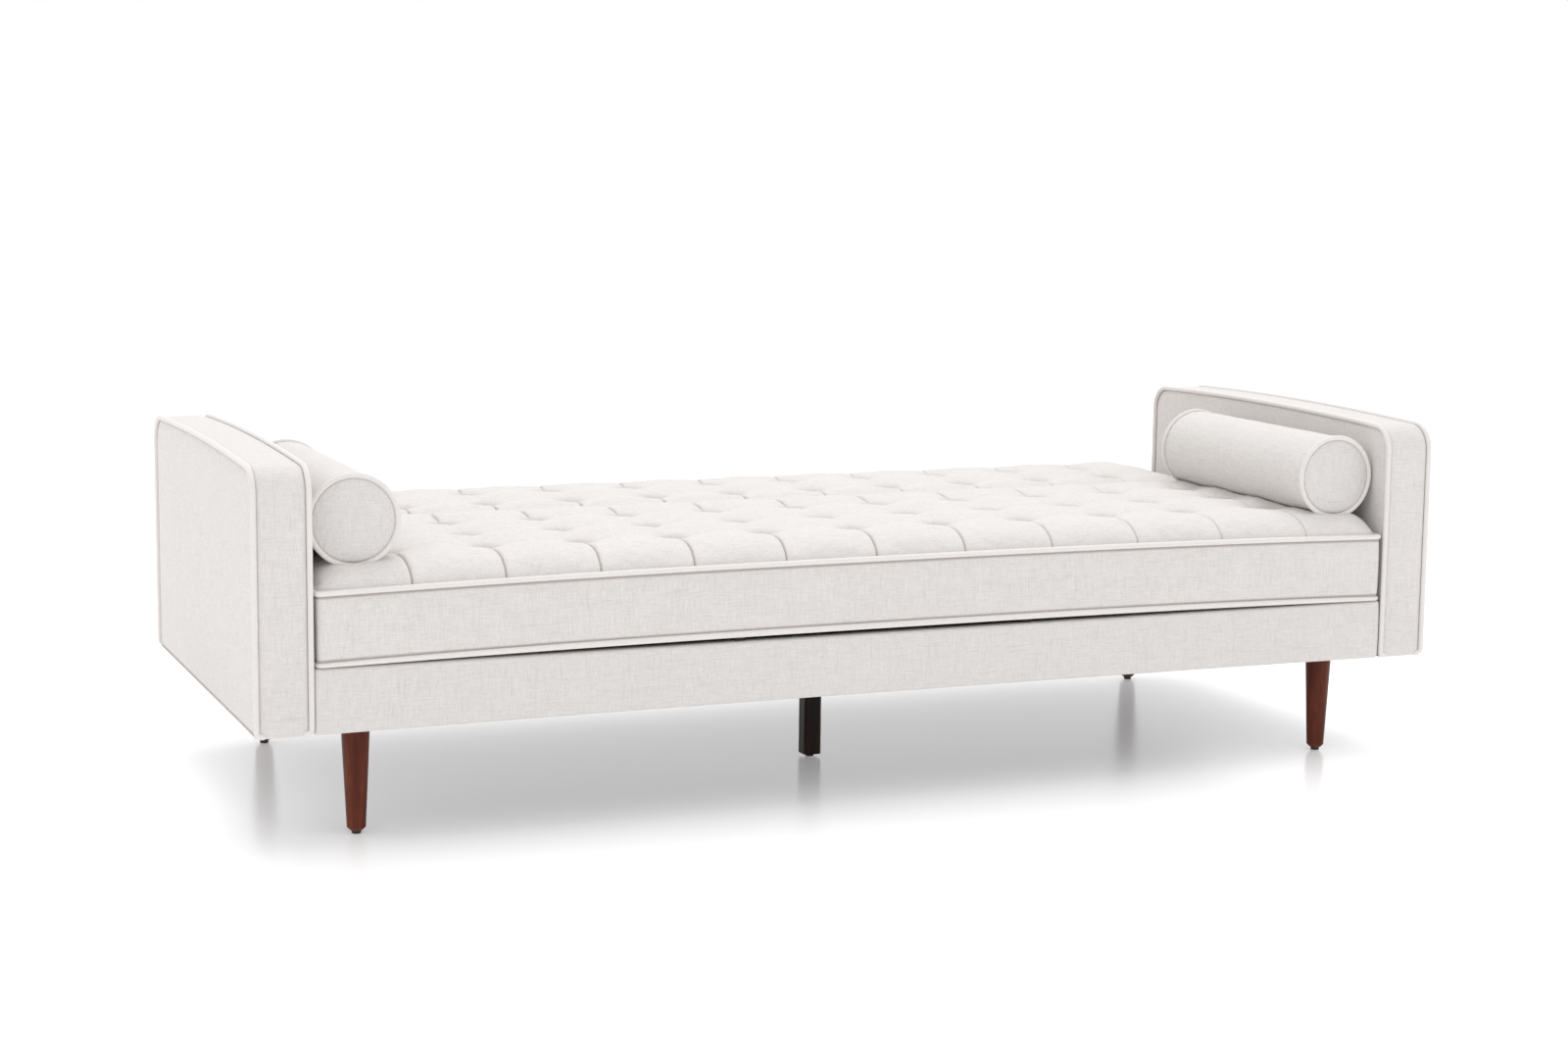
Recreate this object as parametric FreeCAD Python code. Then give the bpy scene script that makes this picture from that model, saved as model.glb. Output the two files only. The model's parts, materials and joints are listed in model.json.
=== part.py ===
import FreeCAD, Part
import math
import os

# Upholstered daybed: a fold-down sofa bed lying flat, with two box arms and two loose bolsters.
# Millimetres. +X runs along the length, -Y is the front, +Z is up, and the floor is z = 0.

Vector = FreeCAD.Vector
X_AXIS = Vector(1, 0, 0)
Y_AXIS = Vector(0, 1, 0)
Z_AXIS = Vector(0, 0, 1)

# Whole object
LENGTH = 2100.0
FRONT_Y = -470.0
ARM_REAR_Y = 350.0
BODY_BOTTOM_Z = 175.0

# Arms
ARM_THICKNESS = 85.0
ARM_CORNER_Z = 587.0
ARM_CROWN_RISE = 9.0
ARM_CORNER_RADIUS = 42.0
ARM_CROWN_RADIUS = 7000.0
COVER_THICKNESS = 8.0
ARM_PADDING = 12.0
ARM_RAIL = 45.0
ARM_FRAME_GAP = 3.0
WELT_RADIUS = 4.5

BED_REAR_Y = WELT_RADIUS - FRONT_Y
ARM_OUTER_X = LENGTH / 2
ARM_INNER_X = ARM_OUTER_X - ARM_THICKNESS
ARM_MIDDLE_Y = (FRONT_Y + ARM_REAR_Y) / 2
ARM_INSET = COVER_THICKNESS + ARM_PADDING
ARM_FRAME_BOTTOM_Z = BODY_BOTTOM_Z + ARM_FRAME_GAP
ARM_FRAME_TOP_Z = ARM_CORNER_Z - ARM_INSET - ARM_FRAME_GAP

# Base
BASE_TOP_Z = 279.0
BASE_END_GAP = 5.0
RAIL_THICKNESS = 24.0
SIDE_RAIL_THICKNESS = 25.0
BRACKET_THICKNESS = 3.0
DUST_COVER_THICKNESS = 1.5
BLOCK_LENGTH = 86.0
BLOCK_HEIGHT = 48.0
BEAM_WIDTH = 44.0
BEAM_HEIGHT = 52.0
BUMPER_RADIUS = 12.0
BUMPER_HEIGHT = 5.7
BUMPER_PLACES_X = (-780.0, -260.0, 260.0, 780.0)

RAIL_BOTTOM_Z = BODY_BOTTOM_Z + COVER_THICKNESS
RAIL_TOP_Z = BASE_TOP_Z - COVER_THICKNESS
RAIL_FRONT_Y = FRONT_Y + COVER_THICKNESS
RAIL_REAR_Y = ARM_REAR_Y - COVER_THICKNESS
BASE_INNER_FRONT_Y = RAIL_FRONT_Y + RAIL_THICKNESS
BASE_INNER_REAR_Y = RAIL_REAR_Y - RAIL_THICKNESS
SIDE_RAIL_OUTER_X = ARM_INNER_X - BRACKET_THICKNESS
SIDE_RAIL_INNER_X = SIDE_RAIL_OUTER_X - SIDE_RAIL_THICKNESS
DUST_COVER_BOTTOM_Z = RAIL_BOTTOM_Z - DUST_COVER_THICKNESS

# Legs
LEG_X = 881.0
LEG_FRONT_Y = -400.0
LEG_REAR_Y = 285.0
LEG_TOP_RADIUS = 23.0
LEG_FOOT_RADIUS = 15.0
LEG_CHAMFER = 5.0
CENTRE_LEG_Y = -140.0
CENTRE_LEG_SIZE = 32.0
CENTRE_LEG_CHAMFER = 4.0
GLIDE_RADIUS = 7.5
GLIDE_HEIGHT = 5.5
GLIDE_EDGE_RADIUS = 1.5
GLIDE_STEM_RADIUS = 1.5
GLIDE_STEM_LENGTH = 14.0
LEG_PLATE_SIZE = 60.0
LEG_PLATE_THICKNESS = 3.0
LEG_PLATE_CORNER_RADIUS = 8.0
LEG_BOLT_RADIUS = 4.0
LEG_BOLT_DEPTH = 38.0

LEG_TOP_Z = DUST_COVER_BOTTOM_Z - LEG_PLATE_THICKNESS
LEG_PLACES = {
    "front_left_leg": (-LEG_X, LEG_FRONT_Y),
    "front_right_leg": (LEG_X, LEG_FRONT_Y),
    "rear_left_leg": (-LEG_X, LEG_REAR_Y),
    "rear_right_leg": (LEG_X, LEG_REAR_Y),
}
ALL_LEG_PLACES = list(LEG_PLACES.values()) + [(0.0, CENTRE_LEG_Y)]

# Seat and back
BED_HALF_LENGTH = 950.0
BED_BOTTOM_Z = 285.0
SEAT_EDGE_Z = 400.0
SEAT_TOP_Z = 425.0
SEAT_SHOULDER = 45.0
SEAT_SHOULDER_RADIUS = 60.0
SEAT_REAR_Y = 75.0
SEAT_REAR_RADIUS = 45.0
BACK_FRONT_Y = 85.0
BACK_TOP_Z = 408.0
BACK_JOINT_RADIUS = 40.0
BACK_EDGE_RADIUS = 45.0
BACK_UNDER_RADIUS = 20.0
FRAME_RAIL_WIDTH = 40.0
FRAME_TOP_Z = 331.0
FOAM_BOTTOM_Z = 337.0
SEAT_FRAME_BOTTOM_Z = BED_BOTTOM_Z + DUST_COVER_THICKNESS
OUTER_PANEL_THICKNESS = 6.0
BACK_FRAME_BOTTOM_Z = BED_BOTTOM_Z + OUTER_PANEL_THICKNESS
FRAME_HALF_LENGTH = BED_HALF_LENGTH - COVER_THICKNESS
SPRING_WIRE_RADIUS = 1.9
SPRING_COUNT = 10
SPRING_PITCH = 38.0
SPRING_SWING = 24.0
SPRING_BEND_RADIUS = 14.0
SPRING_END_INSET = 12.0
SPRING_LIFT = 0.5
WEB_COUNT = 9
WEB_WIDTH = 70.0
WEB_THICKNESS = 2.0
WEB_END_INSET = 6.0
SEAT_WELT_REAR_Y = 45.0
SEAT_WELT_CORNER_RADIUS = 12.0
SEAT_WELT_HEIGHTS = (SEAT_EDGE_Z - 1.0, BED_BOTTOM_Z + WELT_RADIUS + 0.5)

# Fold-down hinge
HINGE_Y = 80.0
HINGE_Z = 392.0
LEAF_THICKNESS = 3.0
LEAF_GAP = 1.0
EAR_RADIUS = 18.0
RATCHET_RADIUS = 24.0
RATCHET_NOTCH_RADIUS = 3.0
RATCHET_STEP_DEG = 36.0
RATCHET_STEPS = 3
PAWL_ANGLE_DEG = 60.0
PAWL_REACH = 16.0
PAWL_WIDTH = 9.0
PAWL_CLEARANCE = 0.5
PAWL_RIVET_RADIUS = 2.5
PAWL_LOBE_RADIUS = 7.0
PIN_RADIUS = 5.0
PIN_CLEARANCE = 0.05
PIN_HEAD_RADIUS = 9.0
PIN_HEAD_OFFSET = 0.4
PIN_HEAD_CLEARANCE = 0.2
SCREW_RADIUS = 3.0
SCREW_HEAD_RADIUS = 6.0
SCREW_HEAD_EDGE = 0.5
SCREW_LENGTH = 40.0
BOSS_RADIUS = 9.0
LEAF_BAR_BOTTOM_Z = 296.0
LEAF_BAR_TOP_Z = 322.0
LEAF_BAR_OVERRUN = 20.0
LEAF_BAR_JOINT_GAP = 5.0
SEAT_SCREW_Y = (20.0, -60.0, -140.0)
BACK_SCREW_Y = (140.0, 210.0, 280.0)
BRACKET_HALF_WIDTH = 40.0
BRACKET_BOTTOM_Z = 198.0

BRACKET_X = ARM_INNER_X - BRACKET_THICKNESS
BACK_LEAF_X = BRACKET_X - LEAF_GAP - LEAF_THICKNESS
SEAT_LEAF_X = BACK_LEAF_X - LEAF_GAP - LEAF_THICKNESS

# Bolts
BOLT_RADIUS = 4.0
BOLT_HEAD_RADIUS = 7.5
BOLT_HEAD_HEIGHT = 6.0
ARM_BOLT_Z = 203.0
ARM_BOLT_Y = (-310.0, -150.0, -10.0, 180.0)
ARM_BOLT_DEPTH = 30.0
BRACKET_BOLT_PLACES = ((52.0, 222.0), (108.0, 222.0), (80.0, 258.0))

# Bolsters
BOLSTER_RADIUS = 72.0
BOLSTER_X = 886.0
BOLSTER_FRONT_Y = -425.0
BOLSTER_REAR_Y = 58.0
BOLSTER_REST_GAP = 1.0
BOLSTER_COVER = 4.0
BOLSTER_EDGE_RADIUS = 12.0


def box(x0, x1, y0, y1, z0, z1):
    """A block between two corners."""
    return Part.makeBox(x1 - x0, y1 - y0, z1 - z0, Vector(x0, y0, z0))


def mirrored(shape):
    """The same piece on the other end of the bed."""
    return shape.mirror(Vector(0, 0, 0), X_AXIS)


def both_ends(shapes):
    """Pieces at the right end, with their mirror images at the left end."""
    return list(shapes) + [mirrored(shape) for shape in shapes]


def round_path(corners, closed=False):
    """Edges of straight runs with an arc at each corner: corners are (position, radius) pairs."""
    count = len(corners)
    stations = []
    for i, (corner, radius) in enumerate(corners):
        if radius == 0 or (not closed and i in (0, count - 1)):
            stations.append((corner, None, corner))
            continue
        before = (corners[i - 1][0] - corner).normalize()
        after = (corners[(i + 1) % count][0] - corner).normalize()
        half_angle = before.getAngle(after) / 2
        run = radius / math.tan(half_angle)
        inward = (before + after).normalize()
        middle = corner + inward * (radius / math.sin(half_angle) - radius)
        stations.append((corner + before * run, middle, corner + after * run))
    edges = []
    for i, (start, middle, end) in enumerate(stations):
        if middle is not None:
            edges.append(Part.Arc(start, middle, end).toShape())
        if i == count - 1 and not closed:
            break
        following = stations[(i + 1) % count][0]
        if end.distanceToPoint(following) > 1e-6:
            edges.append(Part.LineSegment(end, following).toShape())
    return edges


def slab_along_x(outline, x0, x1):
    """A side-view outline of (y, z, corner radius) points, stretched from x0 to x1."""
    corners = [(Vector(x0, y, z), radius) for y, z, radius in outline]
    face = Part.Face(Part.Wire(round_path(corners, closed=True)))
    return face.extrude(Vector(x1 - x0, 0, 0))


def tube(corners, radius):
    """A round bar along straight runs and arcs."""
    edges = round_path(corners)
    start = corners[0][0]
    heading = corners[1][0] - start
    circle = Part.Wire(Part.makeCircle(radius, start, heading))
    return Part.Wire(edges).makePipeShell([circle], True, True, 2)


def rod_along_x(x0, x1, y, z, radius):
    """A round bar lying along the length."""
    return Part.makeCylinder(radius, x1 - x0, Vector(x0, y, z), X_AXIS)


def rod_along_z(x, y, z0, z1, radius):
    """A round bar standing upright."""
    return Part.makeCylinder(radius, z1 - z0, Vector(x, y, z0), Z_AXIS)


def drilled(shape, holes):
    """The shape with every hole cut out of it."""
    for hole in holes:
        shape = shape.cut(hole)
    return shape


def hanging_bolt(place):
    """The headless bolt that joins a leg to the block above it."""
    x, y = place
    return rod_along_z(x, y, LEG_TOP_Z - LEG_BOLT_DEPTH, LEG_TOP_Z + LEG_BOLT_DEPTH, LEG_BOLT_RADIUS)


def glide(place):
    """A nail-on floor glide with its stem."""
    x, y = place
    pad = rod_along_z(x, y, 0, GLIDE_HEIGHT, GLIDE_RADIUS)
    pad = pad.makeFillet(GLIDE_EDGE_RADIUS, [edge for edge in pad.Edges if edge.CenterOfMass.z < 0.1])
    stem = rod_along_z(x, y, GLIDE_HEIGHT, GLIDE_HEIGHT + GLIDE_STEM_LENGTH, GLIDE_STEM_RADIUS)
    return pad.fuse(stem)


def leg_holes(place):
    """Room in a leg for its bolt and its glide's stem."""
    x, y = place
    stem = rod_along_z(x, y, GLIDE_HEIGHT, GLIDE_HEIGHT + GLIDE_STEM_LENGTH, GLIDE_STEM_RADIUS)
    return [hanging_bolt(place), stem]


def round_leg(place):
    """A turned leg that tapers to a chamfered foot."""
    x, y = place
    profile = [
        Vector(x, y, GLIDE_HEIGHT),
        Vector(x + LEG_FOOT_RADIUS - LEG_CHAMFER, y, GLIDE_HEIGHT),
        Vector(x + LEG_FOOT_RADIUS, y, GLIDE_HEIGHT + LEG_CHAMFER),
        Vector(x + LEG_TOP_RADIUS, y, LEG_TOP_Z),
        Vector(x, y, LEG_TOP_Z),
    ]
    face = Part.Face(Part.makePolygon(profile + [profile[0]]))
    return drilled(face.revolve(Vector(x, y, 0), Z_AXIS, 360), leg_holes(place))


def square_leg():
    """The straight middle leg with chamfered corners."""
    half = CENTRE_LEG_SIZE / 2
    post = box(-half, half, CENTRE_LEG_Y - half, CENTRE_LEG_Y + half, GLIDE_HEIGHT, LEG_TOP_Z)
    upright = [edge for edge in post.Edges if abs(edge.tangentAt(edge.FirstParameter).z) > 0.9]
    post = post.makeChamfer(CENTRE_LEG_CHAMFER, upright)
    return drilled(post, leg_holes((0.0, CENTRE_LEG_Y)))


def leg_plate(place):
    """The steel plate screwed to the block, with a hole for the leg's bolt."""
    x, y = place
    half = LEG_PLATE_SIZE / 2
    plate = box(x - half, x + half, y - half, y + half, LEG_TOP_Z, DUST_COVER_BOTTOM_Z)
    upright = [edge for edge in plate.Edges if abs(edge.tangentAt(edge.FirstParameter).z) > 0.9]
    return plate.makeFillet(LEG_PLATE_CORNER_RADIUS, upright).cut(hanging_bolt(place))


def make_legs():
    parts = {name: round_leg(place) for name, place in LEG_PLACES.items()}
    parts["centre_leg"] = square_leg()
    parts["leg_plates"] = [leg_plate(place) for place in ALL_LEG_PLACES]
    parts["leg_bolts"] = [hanging_bolt(place) for place in ALL_LEG_PLACES]
    parts["leg_glides"] = [glide(place) for place in ALL_LEG_PLACES]
    return parts


def arm_outline(inset, bottom):
    """The arm's side view, drawn in by an inset: square below, round corners, gently crowned top."""
    front = FRONT_Y + inset
    rear = ARM_REAR_Y - inset
    top = ARM_CORNER_Z - inset
    corner = ARM_CORNER_RADIUS - inset
    return [
        (front, bottom, 0),
        (front, top, corner),
        (ARM_MIDDLE_Y, top + ARM_CROWN_RISE, ARM_CROWN_RADIUS),
        (rear, top, corner),
        (rear, bottom, 0),
    ]


def arm_shell(outer_inset, inner_inset):
    """A cap of even thickness, open underneath, between two insets from the arm's surface."""
    below = BODY_BOTTOM_Z - 1
    outer = slab_along_x(
        arm_outline(outer_inset, BODY_BOTTOM_Z), ARM_INNER_X + outer_inset, ARM_OUTER_X - outer_inset
    )
    inner = slab_along_x(
        arm_outline(inner_inset, below), ARM_INNER_X + inner_inset, ARM_OUTER_X - inner_inset
    )
    return outer.cut(inner)


def arm_welt(x):
    """The piping along one edge of the arm: up the front, over the top and down the rear."""
    corners = [(Vector(x, y, z), radius) for y, z, radius in arm_outline(0, BODY_BOTTOM_Z)]
    return tube(corners, WELT_RADIUS)


def arm_bolts():
    """Bolts from inside the base into the right arm's bottom rail."""
    x = SIDE_RAIL_INNER_X
    tip = ARM_INNER_X + ARM_INSET + ARM_BOLT_DEPTH
    bolts = []
    for y in ARM_BOLT_Y:
        shaft = rod_along_x(x, tip, y, ARM_BOLT_Z, BOLT_RADIUS)
        head = rod_along_x(x - BOLT_HEAD_HEIGHT, x, y, ARM_BOLT_Z, BOLT_HEAD_RADIUS)
        bolts.append(shaft.fuse(head))
    return bolts


def make_right_arm():
    """The right arm's pieces by their names without a side."""
    bolts = arm_bolts()
    welts = [arm_welt(ARM_INNER_X), arm_welt(ARM_OUTER_X)]
    x0 = ARM_INNER_X + ARM_INSET
    x1 = ARM_OUTER_X - ARM_INSET
    front = FRONT_Y + ARM_INSET
    rear = ARM_REAR_Y - ARM_INSET
    rail_top = ARM_FRAME_BOTTOM_Z + ARM_RAIL
    post_top = ARM_FRAME_TOP_Z - ARM_RAIL
    bottom_rail = drilled(box(x0, x1, front, rear, ARM_FRAME_BOTTOM_Z, rail_top), bolts)
    inside = slab_along_x(arm_outline(ARM_INSET, BODY_BOTTOM_Z), x0, x1)
    top_rail = box(x0, x1, front, rear, post_top, ARM_FRAME_TOP_Z).common(inside)
    return {
        "arm_posts": [
            box(x0, x1, front, front + ARM_RAIL, rail_top, post_top),
            box(x0, x1, rear - ARM_RAIL, rear, rail_top, post_top),
        ],
        "arm_rails": [bottom_rail, top_rail],
        "arm_padding": drilled(arm_shell(COVER_THICKNESS, ARM_INSET), bolts),
        "arm_cover": drilled(arm_shell(0, COVER_THICKNESS), bolts + welts),
        "arm_welts": welts,
    }


def make_arms():
    parts = {}
    for name, shape in make_right_arm().items():
        solids = shape if isinstance(shape, list) else [shape]
        parts["right_" + name] = solids
        parts["left_" + name] = [mirrored(solid) for solid in solids]
    parts["arm_bolts"] = both_ends(arm_bolts())
    return parts


def rail_cover(outer_y, inner_y):
    """Padding and fabric wrapped over the face, top and underside of a base rail."""
    half = ARM_INNER_X - BASE_END_GAP
    face_y = outer_y + math.copysign(COVER_THICKNESS, inner_y - outer_y)
    y0, y1 = sorted((outer_y, inner_y))
    r0, r1 = sorted((face_y, inner_y))
    wrap = box(-half, half, y0, y1, BODY_BOTTOM_Z, BASE_TOP_Z)
    return wrap.cut(box(-half, half, r0, r1, RAIL_BOTTOM_Z, RAIL_TOP_Z))


def bracket_bolts():
    """Bolts that hold the right hinge bracket on the base's side rail."""
    x = SIDE_RAIL_INNER_X
    bolts = []
    for y, z in BRACKET_BOLT_PLACES:
        shaft = rod_along_x(x, ARM_INNER_X, y, z, BOLT_RADIUS)
        head = rod_along_x(x - BOLT_HEAD_HEIGHT, x, y, z, BOLT_HEAD_RADIUS)
        bolts.append(shaft.fuse(head))
    return bolts


def make_base():
    half = ARM_INNER_X - BASE_END_GAP
    bolts = [hanging_bolt(place) for place in ALL_LEG_PLACES]
    blocks = []
    for y in (BASE_INNER_FRONT_Y, BASE_INNER_REAR_Y - BLOCK_LENGTH):
        block = box(SIDE_RAIL_INNER_X - BLOCK_LENGTH, SIDE_RAIL_INNER_X, y, y + BLOCK_LENGTH,
                    RAIL_BOTTOM_Z, RAIL_BOTTOM_Z + BLOCK_HEIGHT)
        blocks.append(drilled(block, bolts))
    side_rail = box(SIDE_RAIL_INNER_X, SIDE_RAIL_OUTER_X, BASE_INNER_FRONT_Y, BASE_INNER_REAR_Y,
                    RAIL_BOTTOM_Z, BASE_TOP_Z)
    beam = box(-BEAM_WIDTH / 2, BEAM_WIDTH / 2, BASE_INNER_FRONT_Y, BASE_INNER_REAR_Y,
               RAIL_BOTTOM_Z, RAIL_BOTTOM_Z + BEAM_HEIGHT)
    sheet = box(-half, half, BASE_INNER_FRONT_Y, BASE_INNER_REAR_Y, DUST_COVER_BOTTOM_Z, RAIL_BOTTOM_Z)
    bumper_rows = (RAIL_FRONT_Y + RAIL_THICKNESS / 2, RAIL_REAR_Y - RAIL_THICKNESS / 2)
    bumpers = [
        rod_along_z(x, y, BASE_TOP_Z, BASE_TOP_Z + BUMPER_HEIGHT, BUMPER_RADIUS)
        for y in bumper_rows
        for x in BUMPER_PLACES_X
    ]
    return {
        "base_front_rail": box(-half, half, RAIL_FRONT_Y, BASE_INNER_FRONT_Y, RAIL_BOTTOM_Z, RAIL_TOP_Z),
        "base_rear_rail": box(-half, half, BASE_INNER_REAR_Y, RAIL_REAR_Y, RAIL_BOTTOM_Z, RAIL_TOP_Z),
        "base_side_rails": both_ends([drilled(side_rail, arm_bolts() + bracket_bolts())]),
        "base_front_cover": rail_cover(FRONT_Y, BASE_INNER_FRONT_Y),
        "base_rear_cover": rail_cover(ARM_REAR_Y, BASE_INNER_REAR_Y),
        "centre_beam": drilled(beam, bolts),
        "base_dust_cover": drilled(sheet, bolts),
        "corner_blocks": both_ends(blocks),
        "rest_bumpers": bumpers,
    }


def plate_shape(bar, x, thickness, ear_radius):
    """A flat hinge plate: a bar joined to a round ear about the hinge's axis. bar is (y0, y1, z0, z1)."""
    y0, y1, z0, z1 = bar
    plate = box(x, x + thickness, y0, y1, z0, z1)
    neck_y0, neck_y1 = HINGE_Y - ear_radius, HINGE_Y + ear_radius
    near_y = max(y0, min(y1, HINGE_Y))
    foot = [y for y in (near_y - ear_radius * 2, near_y + ear_radius * 2) if y0 <= y <= y1]
    feet = sorted([near_y] + foot)
    neck = [(feet[0], z1, 0), (neck_y0, HINGE_Z, 0), (neck_y1, HINGE_Z, 0), (feet[-1], z1, 0)]
    plate = plate.fuse(slab_along_x(neck, x, x + thickness))
    return plate.fuse(rod_along_x(x, x + thickness, HINGE_Y, HINGE_Z, ear_radius)).removeSplitter()


def with_bosses(leaf, x, screw_places):
    """Raised pads that carry the leaf on the side of the upholstered frame."""
    for y, z in screw_places:
        leaf = leaf.fuse(rod_along_x(BED_HALF_LENGTH, x, y, z, BOSS_RADIUS))
    return leaf.removeSplitter()


def countersunk_screw(x, y, z):
    """A wood screw with its head flush with the leaf's outer face at x."""
    shaft = rod_along_x(x - SCREW_LENGTH, x, y, z, SCREW_RADIUS)
    head_depth = LEAF_THICKNESS - SCREW_HEAD_EDGE
    head = Part.makeCone(SCREW_RADIUS, SCREW_HEAD_RADIUS, head_depth, Vector(x - head_depth, y, z), X_AXIS)
    return shaft.fuse(head).removeSplitter()


def on_ratchet(radius, angle_deg):
    """A point about the hinge's axis in the side view."""
    angle = math.radians(angle_deg)
    return HINGE_Y + radius * math.cos(angle), HINGE_Z + radius * math.sin(angle)


def seat_screws():
    z = (LEAF_BAR_BOTTOM_Z + LEAF_BAR_TOP_Z) / 2
    return [countersunk_screw(SEAT_LEAF_X + LEAF_THICKNESS, y, z) for y in SEAT_SCREW_Y]


def back_screws():
    z = (LEAF_BAR_BOTTOM_Z + LEAF_BAR_TOP_Z) / 2
    return [countersunk_screw(BACK_LEAF_X + LEAF_THICKNESS, y, z) for y in BACK_SCREW_Y]


def seat_leaf():
    """The seat's leaf: bar, ear and notched quadrant."""
    z = (LEAF_BAR_BOTTOM_Z + LEAF_BAR_TOP_Z) / 2
    bar_y0 = SEAT_SCREW_Y[-1] - LEAF_BAR_OVERRUN
    bar = (bar_y0, SEAT_REAR_Y - LEAF_BAR_JOINT_GAP, LEAF_BAR_BOTTOM_Z, LEAF_BAR_TOP_Z)
    leaf = plate_shape(bar, SEAT_LEAF_X, LEAF_THICKNESS, RATCHET_RADIUS)
    leaf = with_bosses(leaf, SEAT_LEAF_X, [(y, z) for y in SEAT_SCREW_Y])
    x1 = SEAT_LEAF_X + LEAF_THICKNESS
    cuts = [rod_along_x(SEAT_LEAF_X - 1, x1 + 1, HINGE_Y, HINGE_Z, PIN_RADIUS + PIN_CLEARANCE)]
    for step in range(RATCHET_STEPS):
        y, z_notch = on_ratchet(RATCHET_RADIUS, PAWL_ANGLE_DEG + step * RATCHET_STEP_DEG)
        cuts.append(rod_along_x(SEAT_LEAF_X - 1, x1 + 1, y, z_notch, RATCHET_NOTCH_RADIUS))
    return drilled(leaf, cuts + seat_screws())


def pawl():
    """The catch that drops into the quadrant, riveted to the back's leaf."""
    inner = RATCHET_RADIUS + PAWL_CLEARANCE
    half = PAWL_WIDTH / 2
    y0, z0 = HINGE_Y + inner, HINGE_Z
    plate = box(SEAT_LEAF_X, SEAT_LEAF_X + LEAF_THICKNESS, y0, y0 + PAWL_REACH, z0 - half, z0 + half)
    rivet_end = BACK_LEAF_X + LEAF_THICKNESS
    rivet = rod_along_x(SEAT_LEAF_X, rivet_end, y0 + PAWL_REACH - half, z0, PAWL_RIVET_RADIUS)
    piece = plate.fuse(rivet).removeSplitter()
    piece.rotate(Vector(0, HINGE_Y, HINGE_Z), X_AXIS, PAWL_ANGLE_DEG)
    return piece


def back_leaf():
    """The back's leaf: bar, ear and the lobe that carries the pawl."""
    z = (LEAF_BAR_BOTTOM_Z + LEAF_BAR_TOP_Z) / 2
    bar_y1 = BACK_SCREW_Y[-1] + LEAF_BAR_OVERRUN
    bar = (BACK_FRONT_Y + LEAF_BAR_JOINT_GAP, bar_y1, LEAF_BAR_BOTTOM_Z, LEAF_BAR_TOP_Z)
    leaf = plate_shape(bar, BACK_LEAF_X, LEAF_THICKNESS, EAR_RADIUS)
    leaf = with_bosses(leaf, BACK_LEAF_X, [(y, z) for y in BACK_SCREW_Y])
    x1 = BACK_LEAF_X + LEAF_THICKNESS
    reach = RATCHET_RADIUS + PAWL_CLEARANCE + PAWL_REACH - PAWL_WIDTH / 2
    lobe_z = (HINGE_Z - PAWL_LOBE_RADIUS, HINGE_Z + PAWL_LOBE_RADIUS)
    lobe = box(BACK_LEAF_X, x1, HINGE_Y, HINGE_Y + reach, *lobe_z)
    lobe = lobe.fuse(rod_along_x(BACK_LEAF_X, x1, HINGE_Y + reach, HINGE_Z, PAWL_LOBE_RADIUS))
    lobe.rotate(Vector(0, HINGE_Y, HINGE_Z), X_AXIS, PAWL_ANGLE_DEG)
    leaf = leaf.fuse(lobe).removeSplitter()
    bore = rod_along_x(BACK_LEAF_X - 1, x1 + 1, HINGE_Y, HINGE_Z, PIN_RADIUS + PIN_CLEARANCE)
    return drilled(leaf, [bore, pawl()] + back_screws())


def hinge_pin():
    """The pin, headed on its inner end and pressed into the bracket."""
    head_x = BED_HALF_LENGTH + PIN_HEAD_OFFSET
    shaft = rod_along_x(head_x, ARM_INNER_X, HINGE_Y, HINGE_Z, PIN_RADIUS)
    head = rod_along_x(head_x, SEAT_LEAF_X - PIN_HEAD_CLEARANCE, HINGE_Y, HINGE_Z, PIN_HEAD_RADIUS)
    return shaft.fuse(head).removeSplitter()


def hinge_bracket():
    """The upright plate that stands on the base's side rail and holds the pin."""
    y0, y1 = HINGE_Y - BRACKET_HALF_WIDTH, HINGE_Y + BRACKET_HALF_WIDTH
    plate = plate_shape((y0, y1, BRACKET_BOTTOM_Z, BASE_TOP_Z), BRACKET_X, BRACKET_THICKNESS, EAR_RADIUS)
    return drilled(plate, [hinge_pin()] + bracket_bolts())


def make_hinges():
    return {
        "hinge_brackets": both_ends([hinge_bracket()]),
        "bracket_bolts": both_ends(bracket_bolts()),
        "hinge_pins": both_ends([hinge_pin()]),
        "seat_right_leaf": seat_leaf(),
        "seat_left_leaf": mirrored(seat_leaf()),
        "seat_leaf_screws": both_ends(seat_screws()),
        "back_right_leaf": back_leaf(),
        "back_left_leaf": mirrored(back_leaf()),
        "back_leaf_screws": both_ends(back_screws()),
        "hinge_pawls": both_ends([pawl()]),
    }


def seat_outline(inset, bottom):
    """The seat's side view: upright front, sloping shoulder, flat top, round edge at the joint."""
    front = FRONT_Y + inset
    rear = SEAT_REAR_Y - inset
    top = SEAT_TOP_Z - inset
    return [
        (front, bottom, 0),
        (front, SEAT_EDGE_Z - inset, 0),
        (front + SEAT_SHOULDER, top, SEAT_SHOULDER_RADIUS),
        (rear, top, SEAT_REAR_RADIUS - inset),
        (rear, bottom, 0),
    ]


def back_outline(inset, bottom):
    """The back's side view, lying flat, with every long edge but the lower front one rounded."""
    front = BACK_FRONT_Y + inset
    rear = BED_REAR_Y - inset
    top = BACK_TOP_Z - inset
    return [
        (front, bottom, 0),
        (front, top, BACK_JOINT_RADIUS - inset),
        (rear, top, BACK_EDGE_RADIUS - inset),
        (rear, bottom, BACK_UNDER_RADIUS - inset if inset < BACK_UNDER_RADIUS else 0),
    ]


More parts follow.
